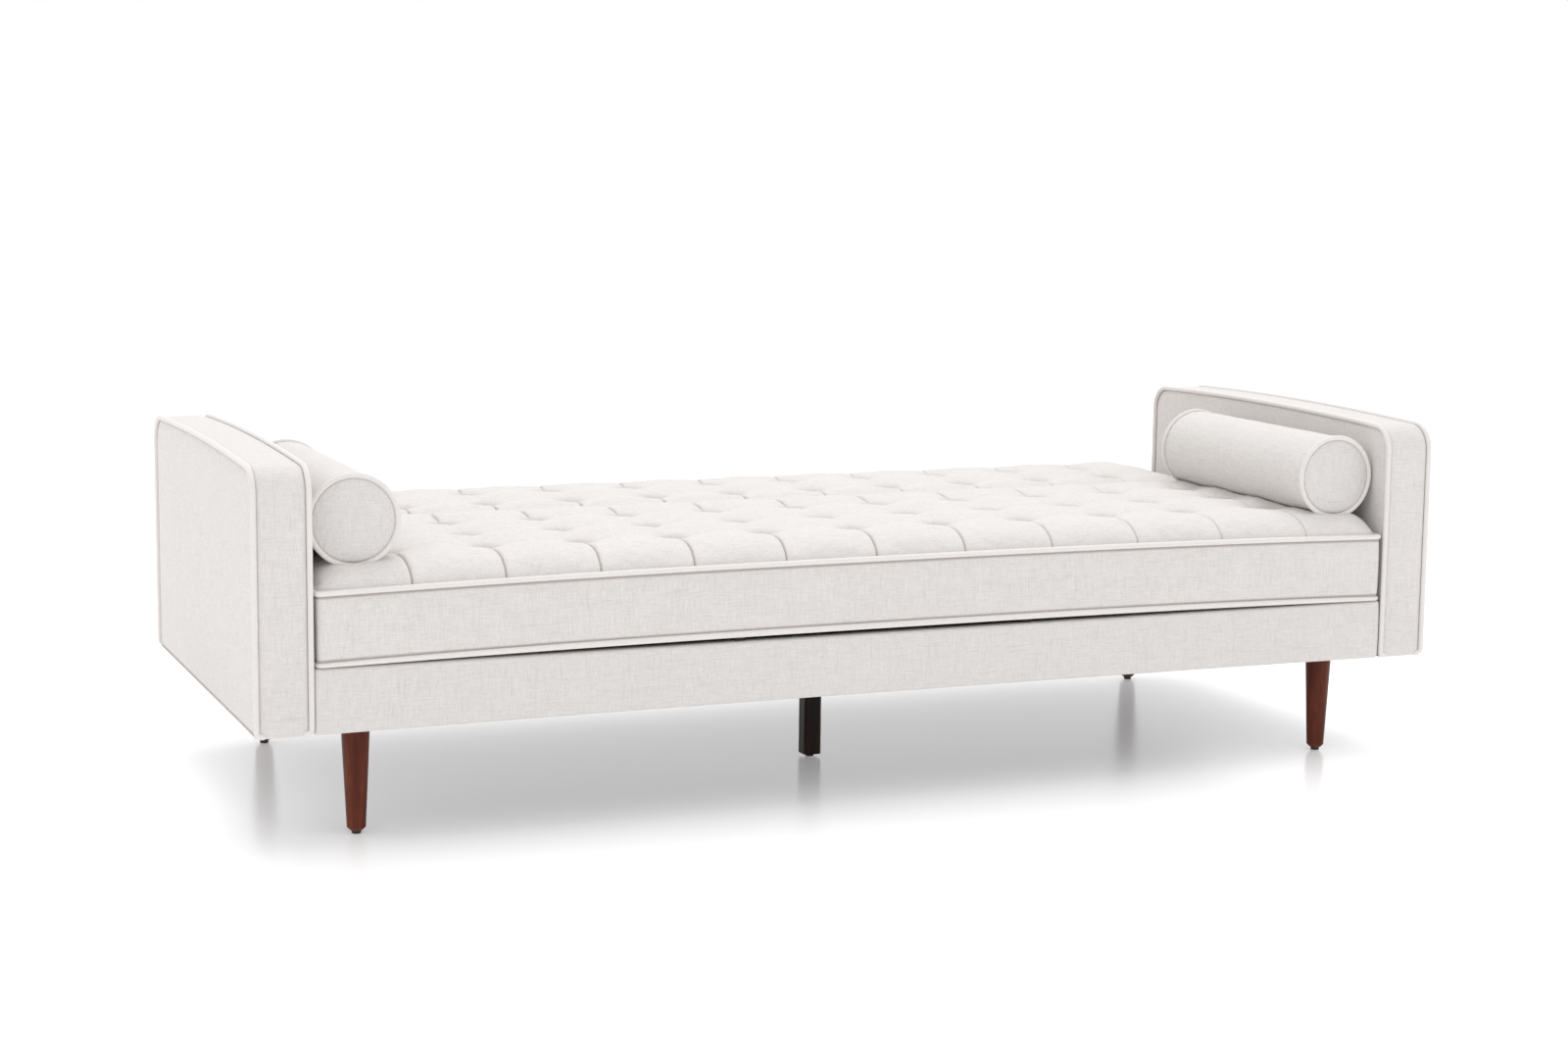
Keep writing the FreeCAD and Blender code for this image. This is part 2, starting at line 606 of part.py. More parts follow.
def sinuous_spring(x):
    """One zigzag wire from the seat's front rail to its rear rail."""
    z = FRAME_TOP_Z + SPRING_WIRE_RADIUS + SPRING_LIFT
    start = FRONT_Y + COVER_THICKNESS + SPRING_END_INSET
    end = SEAT_REAR_Y - COVER_THICKNESS - SPRING_END_INSET
    bends = int((end - start) / SPRING_PITCH)
    pitch = (end - start) / bends
    corners = [
        (Vector(x - SPRING_SWING, start, z), 0),
        (Vector(x + SPRING_SWING, start, z), SPRING_BEND_RADIUS),
    ]
    side = 1
    for i in range(1, bends):
        y = start + i * pitch
        corners.append((Vector(x + side * SPRING_SWING, y, z), SPRING_BEND_RADIUS))
        corners.append((Vector(x - side * SPRING_SWING, y, z), SPRING_BEND_RADIUS))
        side = -side
    corners.append((Vector(x + side * SPRING_SWING, end, z), SPRING_BEND_RADIUS))
    corners.append((Vector(x - side * SPRING_SWING, end, z), 0))
    return tube(corners, SPRING_WIRE_RADIUS)


def spread(count, half_length):
    """Evenly spaced places along the length."""
    step = 2 * half_length / count
    return [-half_length + step * (i + 0.5) for i in range(count)]


def seat_welt(z):
    """The piping round the front and sides of the seat at one height."""
    x = BED_HALF_LENGTH
    corners = [
        (Vector(-x, SEAT_WELT_REAR_Y, z), 0),
        (Vector(-x, FRONT_Y, z), SEAT_WELT_CORNER_RADIUS),
        (Vector(x, FRONT_Y, z), SEAT_WELT_CORNER_RADIUS),
        (Vector(x, SEAT_WELT_REAR_Y, z), 0),
    ]
    return tube(corners, WELT_RADIUS)


def make_seat():
    half = FRAME_HALF_LENGTH
    front = FRONT_Y + COVER_THICKNESS
    rear = SEAT_REAR_Y - COVER_THICKNESS
    inner_front = front + FRAME_RAIL_WIDTH
    inner_rear = rear - FRAME_RAIL_WIDTH
    z0, z1 = SEAT_FRAME_BOTTOM_Z, FRAME_TOP_Z
    welts = [seat_welt(z) for z in SEAT_WELT_HEIGHTS]
    outer = slab_along_x(seat_outline(0, BED_BOTTOM_Z), -BED_HALF_LENGTH, BED_HALF_LENGTH)
    inner = slab_along_x(seat_outline(COVER_THICKNESS, BED_BOTTOM_Z - 1), -half, half)
    screws = both_ends(seat_screws())
    side_rails = both_ends([box(half - FRAME_RAIL_WIDTH, half, inner_front, inner_rear, z0, z1)])
    middle = FRAME_RAIL_WIDTH / 2
    return {
        "seat_front_rail": box(-half, half, front, inner_front, z0, z1),
        "seat_rear_rail": drilled(box(-half, half, inner_rear, rear, z0, z1), screws),
        "seat_side_rails": [drilled(rail, screws) for rail in side_rails],
        "seat_centre_rail": box(-middle, middle, inner_front, inner_rear, z0, z1),
        "seat_springs": [sinuous_spring(x) for x in spread(SPRING_COUNT, half - FRAME_RAIL_WIDTH)],
        "seat_foam": slab_along_x(seat_outline(COVER_THICKNESS, FOAM_BOTTOM_Z), -half, half),
        "seat_cover": drilled(outer.cut(inner), welts + screws),
        "seat_welts": welts,
        "seat_dust_cover": box(-half, half, front, rear, BED_BOTTOM_Z, SEAT_FRAME_BOTTOM_Z),
    }


def make_back():
    half = FRAME_HALF_LENGTH
    front = BACK_FRONT_Y + COVER_THICKNESS
    rear = BED_REAR_Y - COVER_THICKNESS
    inner_front = front + FRAME_RAIL_WIDTH
    inner_rear = rear - FRAME_RAIL_WIDTH
    z0, z1 = BACK_FRAME_BOTTOM_Z, FRAME_TOP_Z
    outer = slab_along_x(back_outline(0, BED_BOTTOM_Z), -BED_HALF_LENGTH, BED_HALF_LENGTH)
    inner = slab_along_x(back_outline(COVER_THICKNESS, BED_BOTTOM_Z - 1), -half, half)
    hollow = slab_along_x(back_outline(COVER_THICKNESS, z0), -half, half)
    screws = both_ends(back_screws())
    side_rails = both_ends([box(half - FRAME_RAIL_WIDTH, half, inner_front, inner_rear, z0, z1)])
    panel = box(-half, half, front, rear, BED_BOTTOM_Z, z0).common(inner)
    web_ends = (front + WEB_END_INSET, rear - WEB_END_INSET)
    webs = [
        box(x - WEB_WIDTH / 2, x + WEB_WIDTH / 2, web_ends[0], web_ends[1], z1, z1 + WEB_THICKNESS)
        for x in spread(WEB_COUNT, half - FRAME_RAIL_WIDTH)
    ]
    return {
        "back_joint_rail": drilled(box(-half, half, front, inner_front, z0, z1), screws),
        "back_top_rail": box(-half, half, inner_rear, rear, z0, z1).common(hollow),
        "back_side_rails": [drilled(rail, screws) for rail in side_rails],
        "back_webbing": webs,
        "back_foam": slab_along_x(back_outline(COVER_THICKNESS, FOAM_BOTTOM_Z), -half, half),
        "back_cover": drilled(outer.cut(inner), screws),
        "back_outer_panel": panel,
    }


def make_right_bolster():
    """A round cushion along the arm: sewn case with its end panel, and the filling inside."""
    z = SEAT_TOP_Z + BOLSTER_REST_GAP + BOLSTER_RADIUS
    start = Vector(BOLSTER_X, BOLSTER_FRONT_Y, z)
    length = BOLSTER_REAR_Y - BOLSTER_FRONT_Y
    case = Part.makeCylinder(BOLSTER_RADIUS, length, start, Y_AXIS)
    case = case.makeFillet(BOLSTER_EDGE_RADIUS, [edge for edge in case.Edges if edge.isClosed()])
    fill_start = start + Y_AXIS * BOLSTER_COVER
    fill = Part.makeCylinder(BOLSTER_RADIUS - BOLSTER_COVER, length - 2 * BOLSTER_COVER, fill_start, Y_AXIS)
    fill_radius = BOLSTER_EDGE_RADIUS - BOLSTER_COVER
    fill = fill.makeFillet(fill_radius, [edge for edge in fill.Edges if edge.isClosed()])
    seam_y = BOLSTER_REAR_Y - BOLSTER_EDGE_RADIUS
    beyond = 2 * BOLSTER_RADIUS
    x0, x1 = BOLSTER_X - beyond, BOLSTER_X + beyond
    rear_half = box(x0, x1, seam_y, BOLSTER_REAR_Y + 1, z - beyond, z + beyond)
    skin = case.cut(fill)
    return {"cover": [skin.cut(rear_half), skin.common(rear_half)], "filling": [fill]}


def make_bolsters():
    parts = {}
    for name, solids in make_right_bolster().items():
        parts["right_bolster_" + name] = solids
        parts["left_bolster_" + name] = [mirrored(solid) for solid in solids]
    return parts


def save(name, shape):
    """Writes one node and says whether it is sound."""
    solids = shape if isinstance(shape, list) else [shape]
    solids = [solid for piece in solids for solid in piece.Solids]
    whole = solids[0] if len(solids) == 1 else Part.makeCompound(solids)
    whole.exportStep(os.path.join("parts", name + ".step"))
    state = "ok" if all(solid.isValid() for solid in solids) else "INVALID"
    print(f"{name}: {len(solids)} solids, {whole.Volume / 1000:.1f} cm3, {state}")


os.makedirs("parts", exist_ok=True)
for make in (make_legs, make_arms, make_base, make_hinges, make_seat, make_back, make_bolsters):
    for node, model in make().items():
        save(node, model)
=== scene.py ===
import json
import math

import bmesh
import bpy
import numpy as np
from mathutils import Matrix, Vector


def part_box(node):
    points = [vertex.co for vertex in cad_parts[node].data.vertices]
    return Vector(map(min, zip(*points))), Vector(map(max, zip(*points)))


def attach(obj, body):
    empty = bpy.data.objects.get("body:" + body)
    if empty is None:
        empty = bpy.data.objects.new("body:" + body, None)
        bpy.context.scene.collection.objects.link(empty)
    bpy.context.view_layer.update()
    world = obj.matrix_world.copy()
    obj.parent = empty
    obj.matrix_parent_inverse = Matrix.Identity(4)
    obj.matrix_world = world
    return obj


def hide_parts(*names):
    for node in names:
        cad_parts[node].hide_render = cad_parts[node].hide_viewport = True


# Upholstered daybed. Metres, in the CAD frame: +X along the length, -Y the front, +Z up.

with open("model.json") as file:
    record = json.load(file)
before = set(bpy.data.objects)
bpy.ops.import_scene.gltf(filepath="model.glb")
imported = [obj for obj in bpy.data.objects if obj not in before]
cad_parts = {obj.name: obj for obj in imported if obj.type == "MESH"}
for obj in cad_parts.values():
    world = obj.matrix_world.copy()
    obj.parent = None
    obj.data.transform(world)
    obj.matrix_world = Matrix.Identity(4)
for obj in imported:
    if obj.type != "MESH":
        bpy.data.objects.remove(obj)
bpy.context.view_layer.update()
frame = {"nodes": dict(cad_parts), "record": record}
NODES = frame["nodes"]

# ---- sizes

MM = 0.001
COLUMN_PITCH = 160 * MM
COLUMN_COUNT = 11
SEAT_TUFT_ROWS = (-310 * MM, -180 * MM, -50 * MM)
BACK_TUFT_ROWS = (245 * MM, 375 * MM)
WELT_RADIUS = 4.5 * MM

seat_low, seat_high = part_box("seat_cover")
back_low, back_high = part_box("back_cover")
BED_HALF = seat_high.x
FRONT_Y = seat_low.y


# ---- materials

def node(tree, kind, **values):
    """A shader node with its properties and unlinked inputs set."""
    made = tree.nodes.new(kind)
    for key, value in values.items():
        if key.startswith("in_"):
            name = key[3:]
            socket = made.inputs[int(name)] if name.isdigit() else made.inputs[name.replace("_", " ")]
            socket.default_value = value
        else:
            setattr(made, key, value)
    return made


def link(tree, source, target, out=0, into=0):
    tree.links.new(source.outputs[out], target.inputs[into])


def base_material(name, **values):
    """A new material with its shader's constants set: (material, tree, shader, position)."""
    material = bpy.data.materials.new(name)
    material.use_nodes = True
    tree = material.node_tree
    shader = tree.nodes["Principled BSDF"]
    for key, value in values.items():
        shader.inputs[key].default_value = value
    position = tree.nodes.new("ShaderNodeTexCoord")
    return material, tree, shader, position


def noise(tree, position, scale, stretch=(1, 1, 1), detail=2.0, roughness=0.5, distortion=0.0):
    """Noise over the piece's own place, stretched along an axis by a small scale on it."""
    mapping = node(tree, "ShaderNodeMapping")
    mapping.inputs["Scale"].default_value = [scale * s for s in stretch]
    tree.links.new(position.outputs["Object"], mapping.inputs["Vector"])
    made = node(tree, "ShaderNodeTexNoise", in_Scale=1.0, in_Detail=detail, in_Roughness=roughness,
                in_Distortion=distortion)
    link(tree, mapping, made, 0, 0)
    return made


def math_node(tree, operation, a, b=None, clamp=False):
    """One arithmetic node; a and b are sockets or numbers."""
    made = node(tree, "ShaderNodeMath", operation=operation, use_clamp=clamp)
    for i, value in enumerate((a, b)):
        if value is None:
            continue
        if isinstance(value, (int, float)):
            made.inputs[i].default_value = value
        else:
            tree.links.new(value, made.inputs[i])
    return made.outputs[0]


def ramp(tree, factor, stops):
    """A colour ramp: stops are (place, colour)."""
    made = node(tree, "ShaderNodeValToRGB")
    elements = made.color_ramp.elements
    while len(elements) < len(stops):
        elements.new(0.5)
    for element, (place, colour) in zip(elements, stops):
        element.position = place
        element.color = (*colour, 1.0)
    tree.links.new(factor, made.inputs[0])
    return made.outputs[0]


def remap(tree, value, low, high, to_low, to_high):
    made = node(tree, "ShaderNodeMapRange")
    for i, number in enumerate((low, high, to_low, to_high)):
        made.inputs[i + 1].default_value = number
    tree.links.new(value, made.inputs[0])
    return made.outputs[0]


def bump(tree, shader, height, distance, strength=1.0):
    made = node(tree, "ShaderNodeBump", in_Strength=strength, in_Distance=distance)
    tree.links.new(height, made.inputs["Height"])
    tree.links.new(made.outputs[0], shader.inputs["Normal"])


def shaded(colour, factor):
    return tuple(c * factor for c in colour)


def woven(name, colour, thread=1.3 * MM, slub=18 * MM, contrast=1.0, relief=0.22 * MM):
    """Slubby linen: threads along all three axes, so that any face shows the two that lie in it, and painted
    shade stored on the points darkens it in seams, pleats and tuft dimples.
    """
    material, tree, shader, position = base_material(
        name, **{"Sheen Weight": 0.18, "Sheen Roughness": 0.45, "Specular IOR Level": 0.25}
    )
    across = 1 / thread
    along = 1 / slub
    total = None
    for axis in range(3):
        stretch = [across] * 3
        stretch[axis] = along
        threads = noise(tree, position, 1.0, stretch, detail=1.5, roughness=0.55)
        total = threads.outputs[0] if total is None else math_node(tree, "ADD", total, threads.outputs[0])
    weave = math_node(tree, "DIVIDE", total, 3.0)
    thick = None
    for axis in range(3):
        stretch = [across / 2.6] * 3
        stretch[axis] = along / 2.2
        slubs = noise(tree, position, 1.0, stretch, detail=1.0, roughness=0.4)
        lifted = remap(tree, slubs.outputs[0], 0.56, 0.72, 0.0, 1.0)
        thick = lifted if thick is None else math_node(tree, "MAXIMUM", thick, lifted)
    tone = noise(tree, position, 9.0, detail=3.0)
    spread = 0.115 * contrast
    shade = remap(tree, weave, 0.36, 0.64, 1.0 - spread, 1.0 + spread * 0.75)
    slub_shade = math_node(tree, "MULTIPLY", thick, -0.055 * contrast)
    tone_shade = remap(tree, tone.outputs[0], 0.3, 0.7, -0.006, 0.006)
    value = math_node(tree, "ADD", math_node(tree, "ADD", shade, slub_shade), tone_shade)
    low, high = shaded(colour, 0.75), tuple(min(1.0, c * 1.12) for c in colour)
    factor = remap(tree, value, 0.75, 1.12, 0.0, 1.0)
    # Painted shade: where the value stored on the points is high, the cloth darkens towards a deep brown,
    # standing in for the shade in seams, creases and tuft dimples.
    seam_and_shade = node(tree, "ShaderNodeAttribute", attribute_name="seam_and_shade")
    crease_shaded = node(tree, "ShaderNodeMix", data_type="RGBA")
    tree.links.new(math_node(tree, "MULTIPLY", seam_and_shade.outputs["Fac"], 0.72), crease_shaded.inputs[0])
    tree.links.new(ramp(tree, factor, [(0.0, low), (1.0, high)]), crease_shaded.inputs[6])
    crease_shaded.inputs[7].default_value = (colour[0] * 0.34, colour[1] * 0.29, colour[2] * 0.26, 1)
    tree.links.new(crease_shaded.outputs[2], shader.inputs["Base Color"])
    tree.links.new(remap(tree, weave, 0.35, 0.65, 0.95, 0.78), shader.inputs["Roughness"])
    height = math_node(tree, "ADD", weave, math_node(tree, "MULTIPLY", thick, 0.25))
    bump(tree, shader, height, relief)
    return material


def wood(name, dark, mid, light, along_z=True, gloss=0.38, coat=0.25, ring=55.0):
    """Stained wood: long grain, darker pores and a satin lacquer."""
    material, tree, shader, position = base_material(
        name, **{"Coat Weight": coat, "Coat Roughness": 0.25, "Specular IOR Level": 0.12}
    )
    stretch = (1, 1, 0.06) if along_z else (0.06, 1, 1)
    grain = noise(tree, position, ring, stretch, detail=5.0, roughness=0.62, distortion=0.6)
    pore_stretch = (1, 1, 0.03) if along_z else (0.03, 1, 1)
    pores = noise(tree, position, 700.0, pore_stretch, detail=2.0)
    cloudy = noise(tree, position, 12.0, detail=2.0)
    value = math_node(tree, "ADD", math_node(tree, "MULTIPLY", grain.outputs[0], 0.72),
                      math_node(tree, "MULTIPLY", cloudy.outputs[0], 0.28))
    stained = ramp(tree, remap(tree, value, 0.34, 0.66, 0.0, 1.0), [(0.0, dark), (0.5, mid), (1.0, light)])
    pore_mask = remap(tree, pores.outputs[0], 0.60, 0.68, 0.0, 0.45)
    mix = node(tree, "ShaderNodeMix", data_type="RGBA")
    tree.links.new(pore_mask, mix.inputs[0])
    tree.links.new(stained, mix.inputs[6])
    mix.inputs[7].default_value = (*shaded(dark, 0.5), 1)
    tree.links.new(mix.outputs[2], shader.inputs["Base Color"])
    tree.links.new(remap(tree, grain.outputs[0], 0.3, 0.7, gloss + 0.08, gloss - 0.06),
                   shader.inputs["Roughness"])
    bump(tree, shader, math_node(tree, "SUBTRACT", grain.outputs[0], pore_mask), 0.15 * MM)
    return material


def metal(name, colour, rough=0.35, brushed=(1, 1, 1), mottled=0.12):
    """Rolled or plated steel with a fine grain and cloudy plating."""
    material, tree, shader, position = base_material(name, Metallic=1.0)
    fine = noise(tree, position, 900.0, brushed, detail=2.0)
    cloudy = noise(tree, position, 60.0, detail=4.0, roughness=0.6)
    value = remap(tree, cloudy.outputs[0], 0.3, 0.7, 0.0, 1.0)
    tree.links.new(ramp(tree, value, [(0.0, shaded(colour, 1 - mottled)), (1.0, colour)]),
                   shader.inputs["Base Color"])
    roughness = math_node(tree, "ADD", remap(tree, cloudy.outputs[0], 0.3, 0.7, rough - 0.06, rough + 0.1),
                          remap(tree, fine.outputs[0], 0.3, 0.7, -0.03, 0.03))
    tree.links.new(roughness, shader.inputs["Roughness"])
    bump(tree, shader, fine.outputs[0], 0.04 * MM)
    return material


def moulded(name, colour, rough=0.55, grain=0.05 * MM):
    """Moulded plastic or rubber with a fine spark-eroded grain."""
    material, tree, shader, position = base_material(name)
    fine = noise(tree, position, 1500.0, detail=2.0)
    cloudy = noise(tree, position, 80.0, detail=3.0)
    value = remap(tree, cloudy.outputs[0], 0.3, 0.7, 0.0, 1.0)
    tree.links.new(ramp(tree, value, [(0.0, shaded(colour, 0.8)), (1.0, colour)]),
                   shader.inputs["Base Color"])
    tree.links.new(remap(tree, fine.outputs[0], 0.3, 0.7, rough - 0.08, rough + 0.1),
                   shader.inputs["Roughness"])
    bump(tree, shader, fine.outputs[0], grain)
    return material


def cellular(name, colour, cell=1.4 * MM):
    """Open-cell foam."""
    material, tree, shader, position = base_material(name, **{"Specular IOR Level": 0.15})
    mapping = node(tree, "ShaderNodeMapping")
    mapping.inputs["Scale"].default_value = (1 / cell,) * 3
    tree.links.new(position.outputs["Object"], mapping.inputs["Vector"])
    cells = node(tree, "ShaderNodeTexVoronoi", in_Scale=1.0)
    link(tree, mapping, cells, 0, 0)
    cloudy = noise(tree, position, 14.0, detail=3.0)
    value = math_node(tree, "ADD", math_node(tree, "MULTIPLY", cells.outputs["Distance"], 0.5),
                      math_node(tree, "MULTIPLY", cloudy.outputs[0], 0.5))
    factor = remap(tree, value, 0.2, 0.7, 0.0, 1.0)
    tree.links.new(ramp(tree, factor, [(0.0, colour), (1.0, shaded(colour, 0.78))]),
                   shader.inputs["Base Color"])
    tree.links.new(remap(tree, cloudy.outputs[0], 0.3, 0.7, 0.9, 1.0), shader.inputs["Roughness"])
    bump(tree, shader, cells.outputs["Distance"], 0.4 * MM)
    return material


LINEN = (0.695, 0.668, 0.649)
linen = woven("linen_weave", LINEN)
# Piping: the same linen cut on the bias, its colour made 10% lighter as a painted highlight on the raised
# cord.
bias_linen_highlit = woven("linen_piping_painted_highlight", shaded(LINEN, 1.10), thread=1.2 * MM, slub=6 * MM, contrast=0.6,
                   relief=0.2 * MM)
walnut = wood("walnut_stain", (0.060, 0.012, 0.006), (0.105, 0.022, 0.010), (0.165, 0.040, 0.018), coat=0.06)
# Centre leg's wood: its colour is darkened far below the walnut legs' as painted shade for its place deep
# under the bed.
shade_darkened_wood = wood("shade_darkened_wood", (0.008, 0.004, 0.003), (0.016, 0.008, 0.006), (0.030, 0.014, 0.009),
                  coat=0.04, ring=40.0)
pine = wood("pine_rail", (0.42, 0.27, 0.13), (0.58, 0.41, 0.22), (0.68, 0.52, 0.31), along_z=False, gloss=0.7,
            coat=0.0, ring=40.0)
zinc = metal("zinc_plate", (0.62, 0.63, 0.66), rough=0.32)
hinge_steel = metal("hinge_steel", (0.30, 0.31, 0.33), rough=0.42, brushed=(1, 0.1, 1), mottled=0.25)
spring_wire = metal("spring_wire", (0.36, 0.36, 0.37), rough=0.3)
glide_plastic = moulded("glide_plastic", (0.012, 0.012, 0.013), rough=0.45)
bumper_rubber = moulded("bumper_rubber", (0.02, 0.02, 0.021), rough=0.75)
foam = cellular("foam_cells", (0.86, 0.82, 0.68))
webbing = woven("jute_webbing", (0.36, 0.30, 0.22), thread=2.2 * MM, slub=20 * MM, contrast=2.0,
                relief=0.6 * MM)
dust_cloth = woven("dust_cloth", (0.022, 0.022, 0.024), thread=0.9 * MM, slub=3 * MM, contrast=1.6,
                   relief=0.15 * MM)

SLOT_MATERIALS = {
    "upholstery": linen, "piping": bias_linen_highlit, "walnut_wood": walnut, "dark_wood": shade_darkened_wood,
    "glide_plastic": glide_plastic, "bumper_rubber": bumper_rubber, "frame_timber": pine,
    "zinc_steel": zinc, "hinge_steel": hinge_steel, "spring_wire": spring_wire, "foam": foam,
    "webbing": webbing, "dust_cloth": dust_cloth,
}


# ---- mesh helpers

def placed(name, data):
    """A new object in the scene."""
    made = bpy.data.objects.new(name, data)
    bpy.context.scene.collection.objects.link(made)
    return made


def outward_faces(mesh):
    """Makes every face of a closed mesh smooth and look outwards."""
    work = bmesh.new()
    work.from_mesh(mesh)
    bmesh.ops.recalc_face_normals(work, faces=work.faces)
    work.to_mesh(mesh)
    work.free()
    mesh.polygons.foreach_set("use_smooth", [True] * len(mesh.polygons))


def mesh_piece(name, points, faces, material, body):
    """A closed smooth mesh object from a point array and faces, riding on its body."""
    mesh = bpy.data.meshes.new(name)
    mesh.from_pydata([tuple(p) for p in np.asarray(points, float)], [], faces)
    mesh.validate()
    mesh.update()
    mesh.materials.append(material)
    piece = placed(name, mesh)
    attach(piece, body)
    outward_faces(mesh)
    return piece


def paint_seam_shade(piece, shade_depth):
    """Stores each point's painted shade, from 0 for none to 1 for deep in a seam or crease; points past the
    end of the given values get 0.
    """
    values = np.zeros(len(piece.data.vertices), np.float32)
    values[:len(shade_depth)] = np.clip(shade_depth, 0, 1)
    piece.data.attributes.new("seam_and_shade", "FLOAT", "POINT").data.foreach_set("value", values)


def upholstered(name, points, faces, seam_and_shade, body, cover):
    """A padded fabric piece in place of a plain cover, with painted shade in its seams and creases stored on
    its points.
    """
    piece = mesh_piece(name, points, faces, linen, body)
    paint_seam_shade(piece, seam_and_shade)
    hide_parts(cover)


def grid_faces(rows, columns, close_rows=False, close_columns=False, start=0):
    """Quads of a rows x columns grid whose points are stored row by row."""
    faces = []
    for r in range(rows if close_rows else rows - 1):
        r1 = (r + 1) % rows
        for c in range(columns if close_columns else columns - 1):
            c1 = (c + 1) % columns
            faces.append((start + r * columns + c, start + r1 * columns + c,
                          start + r1 * columns + c1, start + r * columns + c1))
    return faces


def unit(vectors):
    return vectors / np.maximum(np.linalg.norm(vectors, axis=-1, keepdims=True), 1e-12)


def tube_mesh(path, radius, sides=14, closed=False):
    """Points and faces of a round bar on a dense path, with domed ends; radius may vary along it."""
    path = np.asarray(path, float)
    count = len(path)
    radius = np.broadcast_to(radius, count).astype(float)
    if closed:
        tangent = unit(np.roll(path, -1, 0) - np.roll(path, 1, 0))
    else:
        tangent = unit(np.gradient(path, axis=0))
    side = np.cross(tangent[0], (0.0, 0.0, 1.0))
    if np.linalg.norm(side) < 0.1:
        side = np.cross(tangent[0], (1.0, 0.0, 0.0))
    sides_out = []
    for t in tangent:
        side = side - t * np.dot(side, t)
        side = side / np.linalg.norm(side)
        sides_out.append(side)
    side = np.array(sides_out)
    other = np.cross(tangent, side)
    angle = np.linspace(0, 2 * math.pi, sides, endpoint=False)
    ring = np.cos(angle)[None, :, None] * side[:, None] + np.sin(angle)[None, :, None] * other[:, None]
    rings = [path[i] + ring[i] * radius[i] for i in range(count)]
    if closed:
        return np.concatenate(rings), grid_faces(count, sides, close_rows=True, close_columns=True)
    domes = []
    for lift in (0.45, 0.75, 0.95):
        shrink = math.sqrt(1 - lift * lift)
        domes.append((path[0] - tangent[0] * radius[0] * lift + ring[0] * radius[0] * shrink,
                      path[-1] + tangent[-1] * radius[-1] * lift + ring[-1] * radius[-1] * shrink))
    rings = [d[0] for d in reversed(domes)] + rings + [d[1] for d in domes]
    points = np.concatenate(rings)
    faces = grid_faces(len(rings), sides, close_columns=True)
    faces.append(tuple(range(sides)))
    faces.append(tuple(len(points) - 1 - i for i in range(sides)))
    return points, faces


def resample(points, step, closed=False):
    """A polyline at an even spacing near step."""
    points = np.asarray(points, float)
    if closed:
        points = np.vstack([points, points[:1]])
    lengths = np.r_[0, np.cumsum(np.linalg.norm(np.diff(points, axis=0), axis=1))]
    count = max(2, int(round(lengths[-1] / step)) + 1)
    places = np.linspace(0, lengths[-1], count)
    made = np.stack([np.interp(places, lengths, points[:, k]) for k in range(points.shape[1])], 1)
    return made[:-1] if closed else made


def arc(centre, radius, start_deg, end_deg, count=16):
    """Points of an arc in a plane."""
    angle = np.radians(np.linspace(start_deg, end_deg, count))
    return np.stack([centre[0] + radius * np.cos(angle), centre[1] + radius * np.sin(angle)], 1)


def cubic_rows(values, places):
    """Catmull-Rom interpolation of an array's rows at fractional row places."""
    last = len(values) - 1
    base = np.clip(np.floor(places).astype(int), 0, last - 1)
    t = (places - base)[:, None, None]
    p0, p1 = values[np.maximum(base - 1, 0)], values[base]
    p2, p3 = values[base + 1], values[np.minimum(base + 2, last)]
    return 0.5 * (2 * p1 + (p2 - p0) * t + (2 * p0 - 5 * p1 + 4 * p2 - p3) * t ** 2
                  + (3 * p1 - p0 - 3 * p2 + p3) * t ** 3)


def capped_loft(rings, bulge, cap_rings=7):
    """Closed mesh through rings of equal size stacked along an axis, with softly bulged end caps.
    rings is (stations, points, 3); bulge is how far the caps' middles stand out."""
    stations, size, _ = rings.shape
    points = [rings.reshape(-1, 3)]
    faces = grid_faces(stations, size, close_columns=True)
    total = stations * size
    for end, outward in ((0, -1), (stations - 1, 1)):
        ring = rings[end]
        middle = (ring.min(0) + ring.max(0)) / 2
        axis = unit(rings[stations - 1].mean(0) - rings[0].mean(0)) * outward
        previous = end * size
        for k in range(1, cap_rings + 1):
            share = k / (cap_rings + 1)
            lift = bulge * (1 - (1 - share) ** 3)
            points.append(ring + (middle - ring) * share + axis * lift)
            order = [(previous + i, previous + (i + 1) % size, total + (i + 1) % size, total + i)
                     for i in range(size)]
            faces += order if outward > 0 else [f[::-1] for f in order]
            previous = total
            total += size
        points.append((middle + axis * bulge)[None])
        fan = [(previous + i, previous + (i + 1) % size, total) for i in range(size)]
        faces += fan if outward > 0 else [f[::-1] for f in fan]
        total += 1
    return np.concatenate(points), faces


# ---- tufted cushions

SEAT_TUFT_DEPTH = 10 * MM
BACK_TUFT_DEPTH = 12 * MM
VALLEY_DEPTH = 4.5 * MM
PLEAT_DEPTH = 13 * MM
SEAT_CROWN_Z = 438 * MM
BACK_CROWN_Z = 427 * MM
SIM_STEP = 10 * MM
SEAT_END_DROP = ((0, 1), (36 * MM, 36 * MM))
BACK_END_DROP = ((125 * MM, 210 * MM), (10 * MM, 38 * MM))
PLEAT_CUT = 3.6 * MM
PLEAT_ROLL = 0.9 * MM
TUFT_CUT_ALONG, TUFT_CUT_ACROSS = 3.2 * MM, 2.0 * MM
TUFT_PULL = 3 * MM
CLOTH_UNEVEN = 0.7 * MM
CLOTH = {"quality": 4, "mass": 0.1, "tension_stiffness": 12, "compression_stiffness": 12,
         "shear_stiffness": 6, "bending_stiffness": 0.4, "tension_damping": 8,
         "compression_damping": 8, "air_damping": 2, "use_pressure": True}


def column_places():
    half = COLUMN_COUNT // 2
    return [COLUMN_PITCH * (i - half) for i in range(COLUMN_COUNT)]


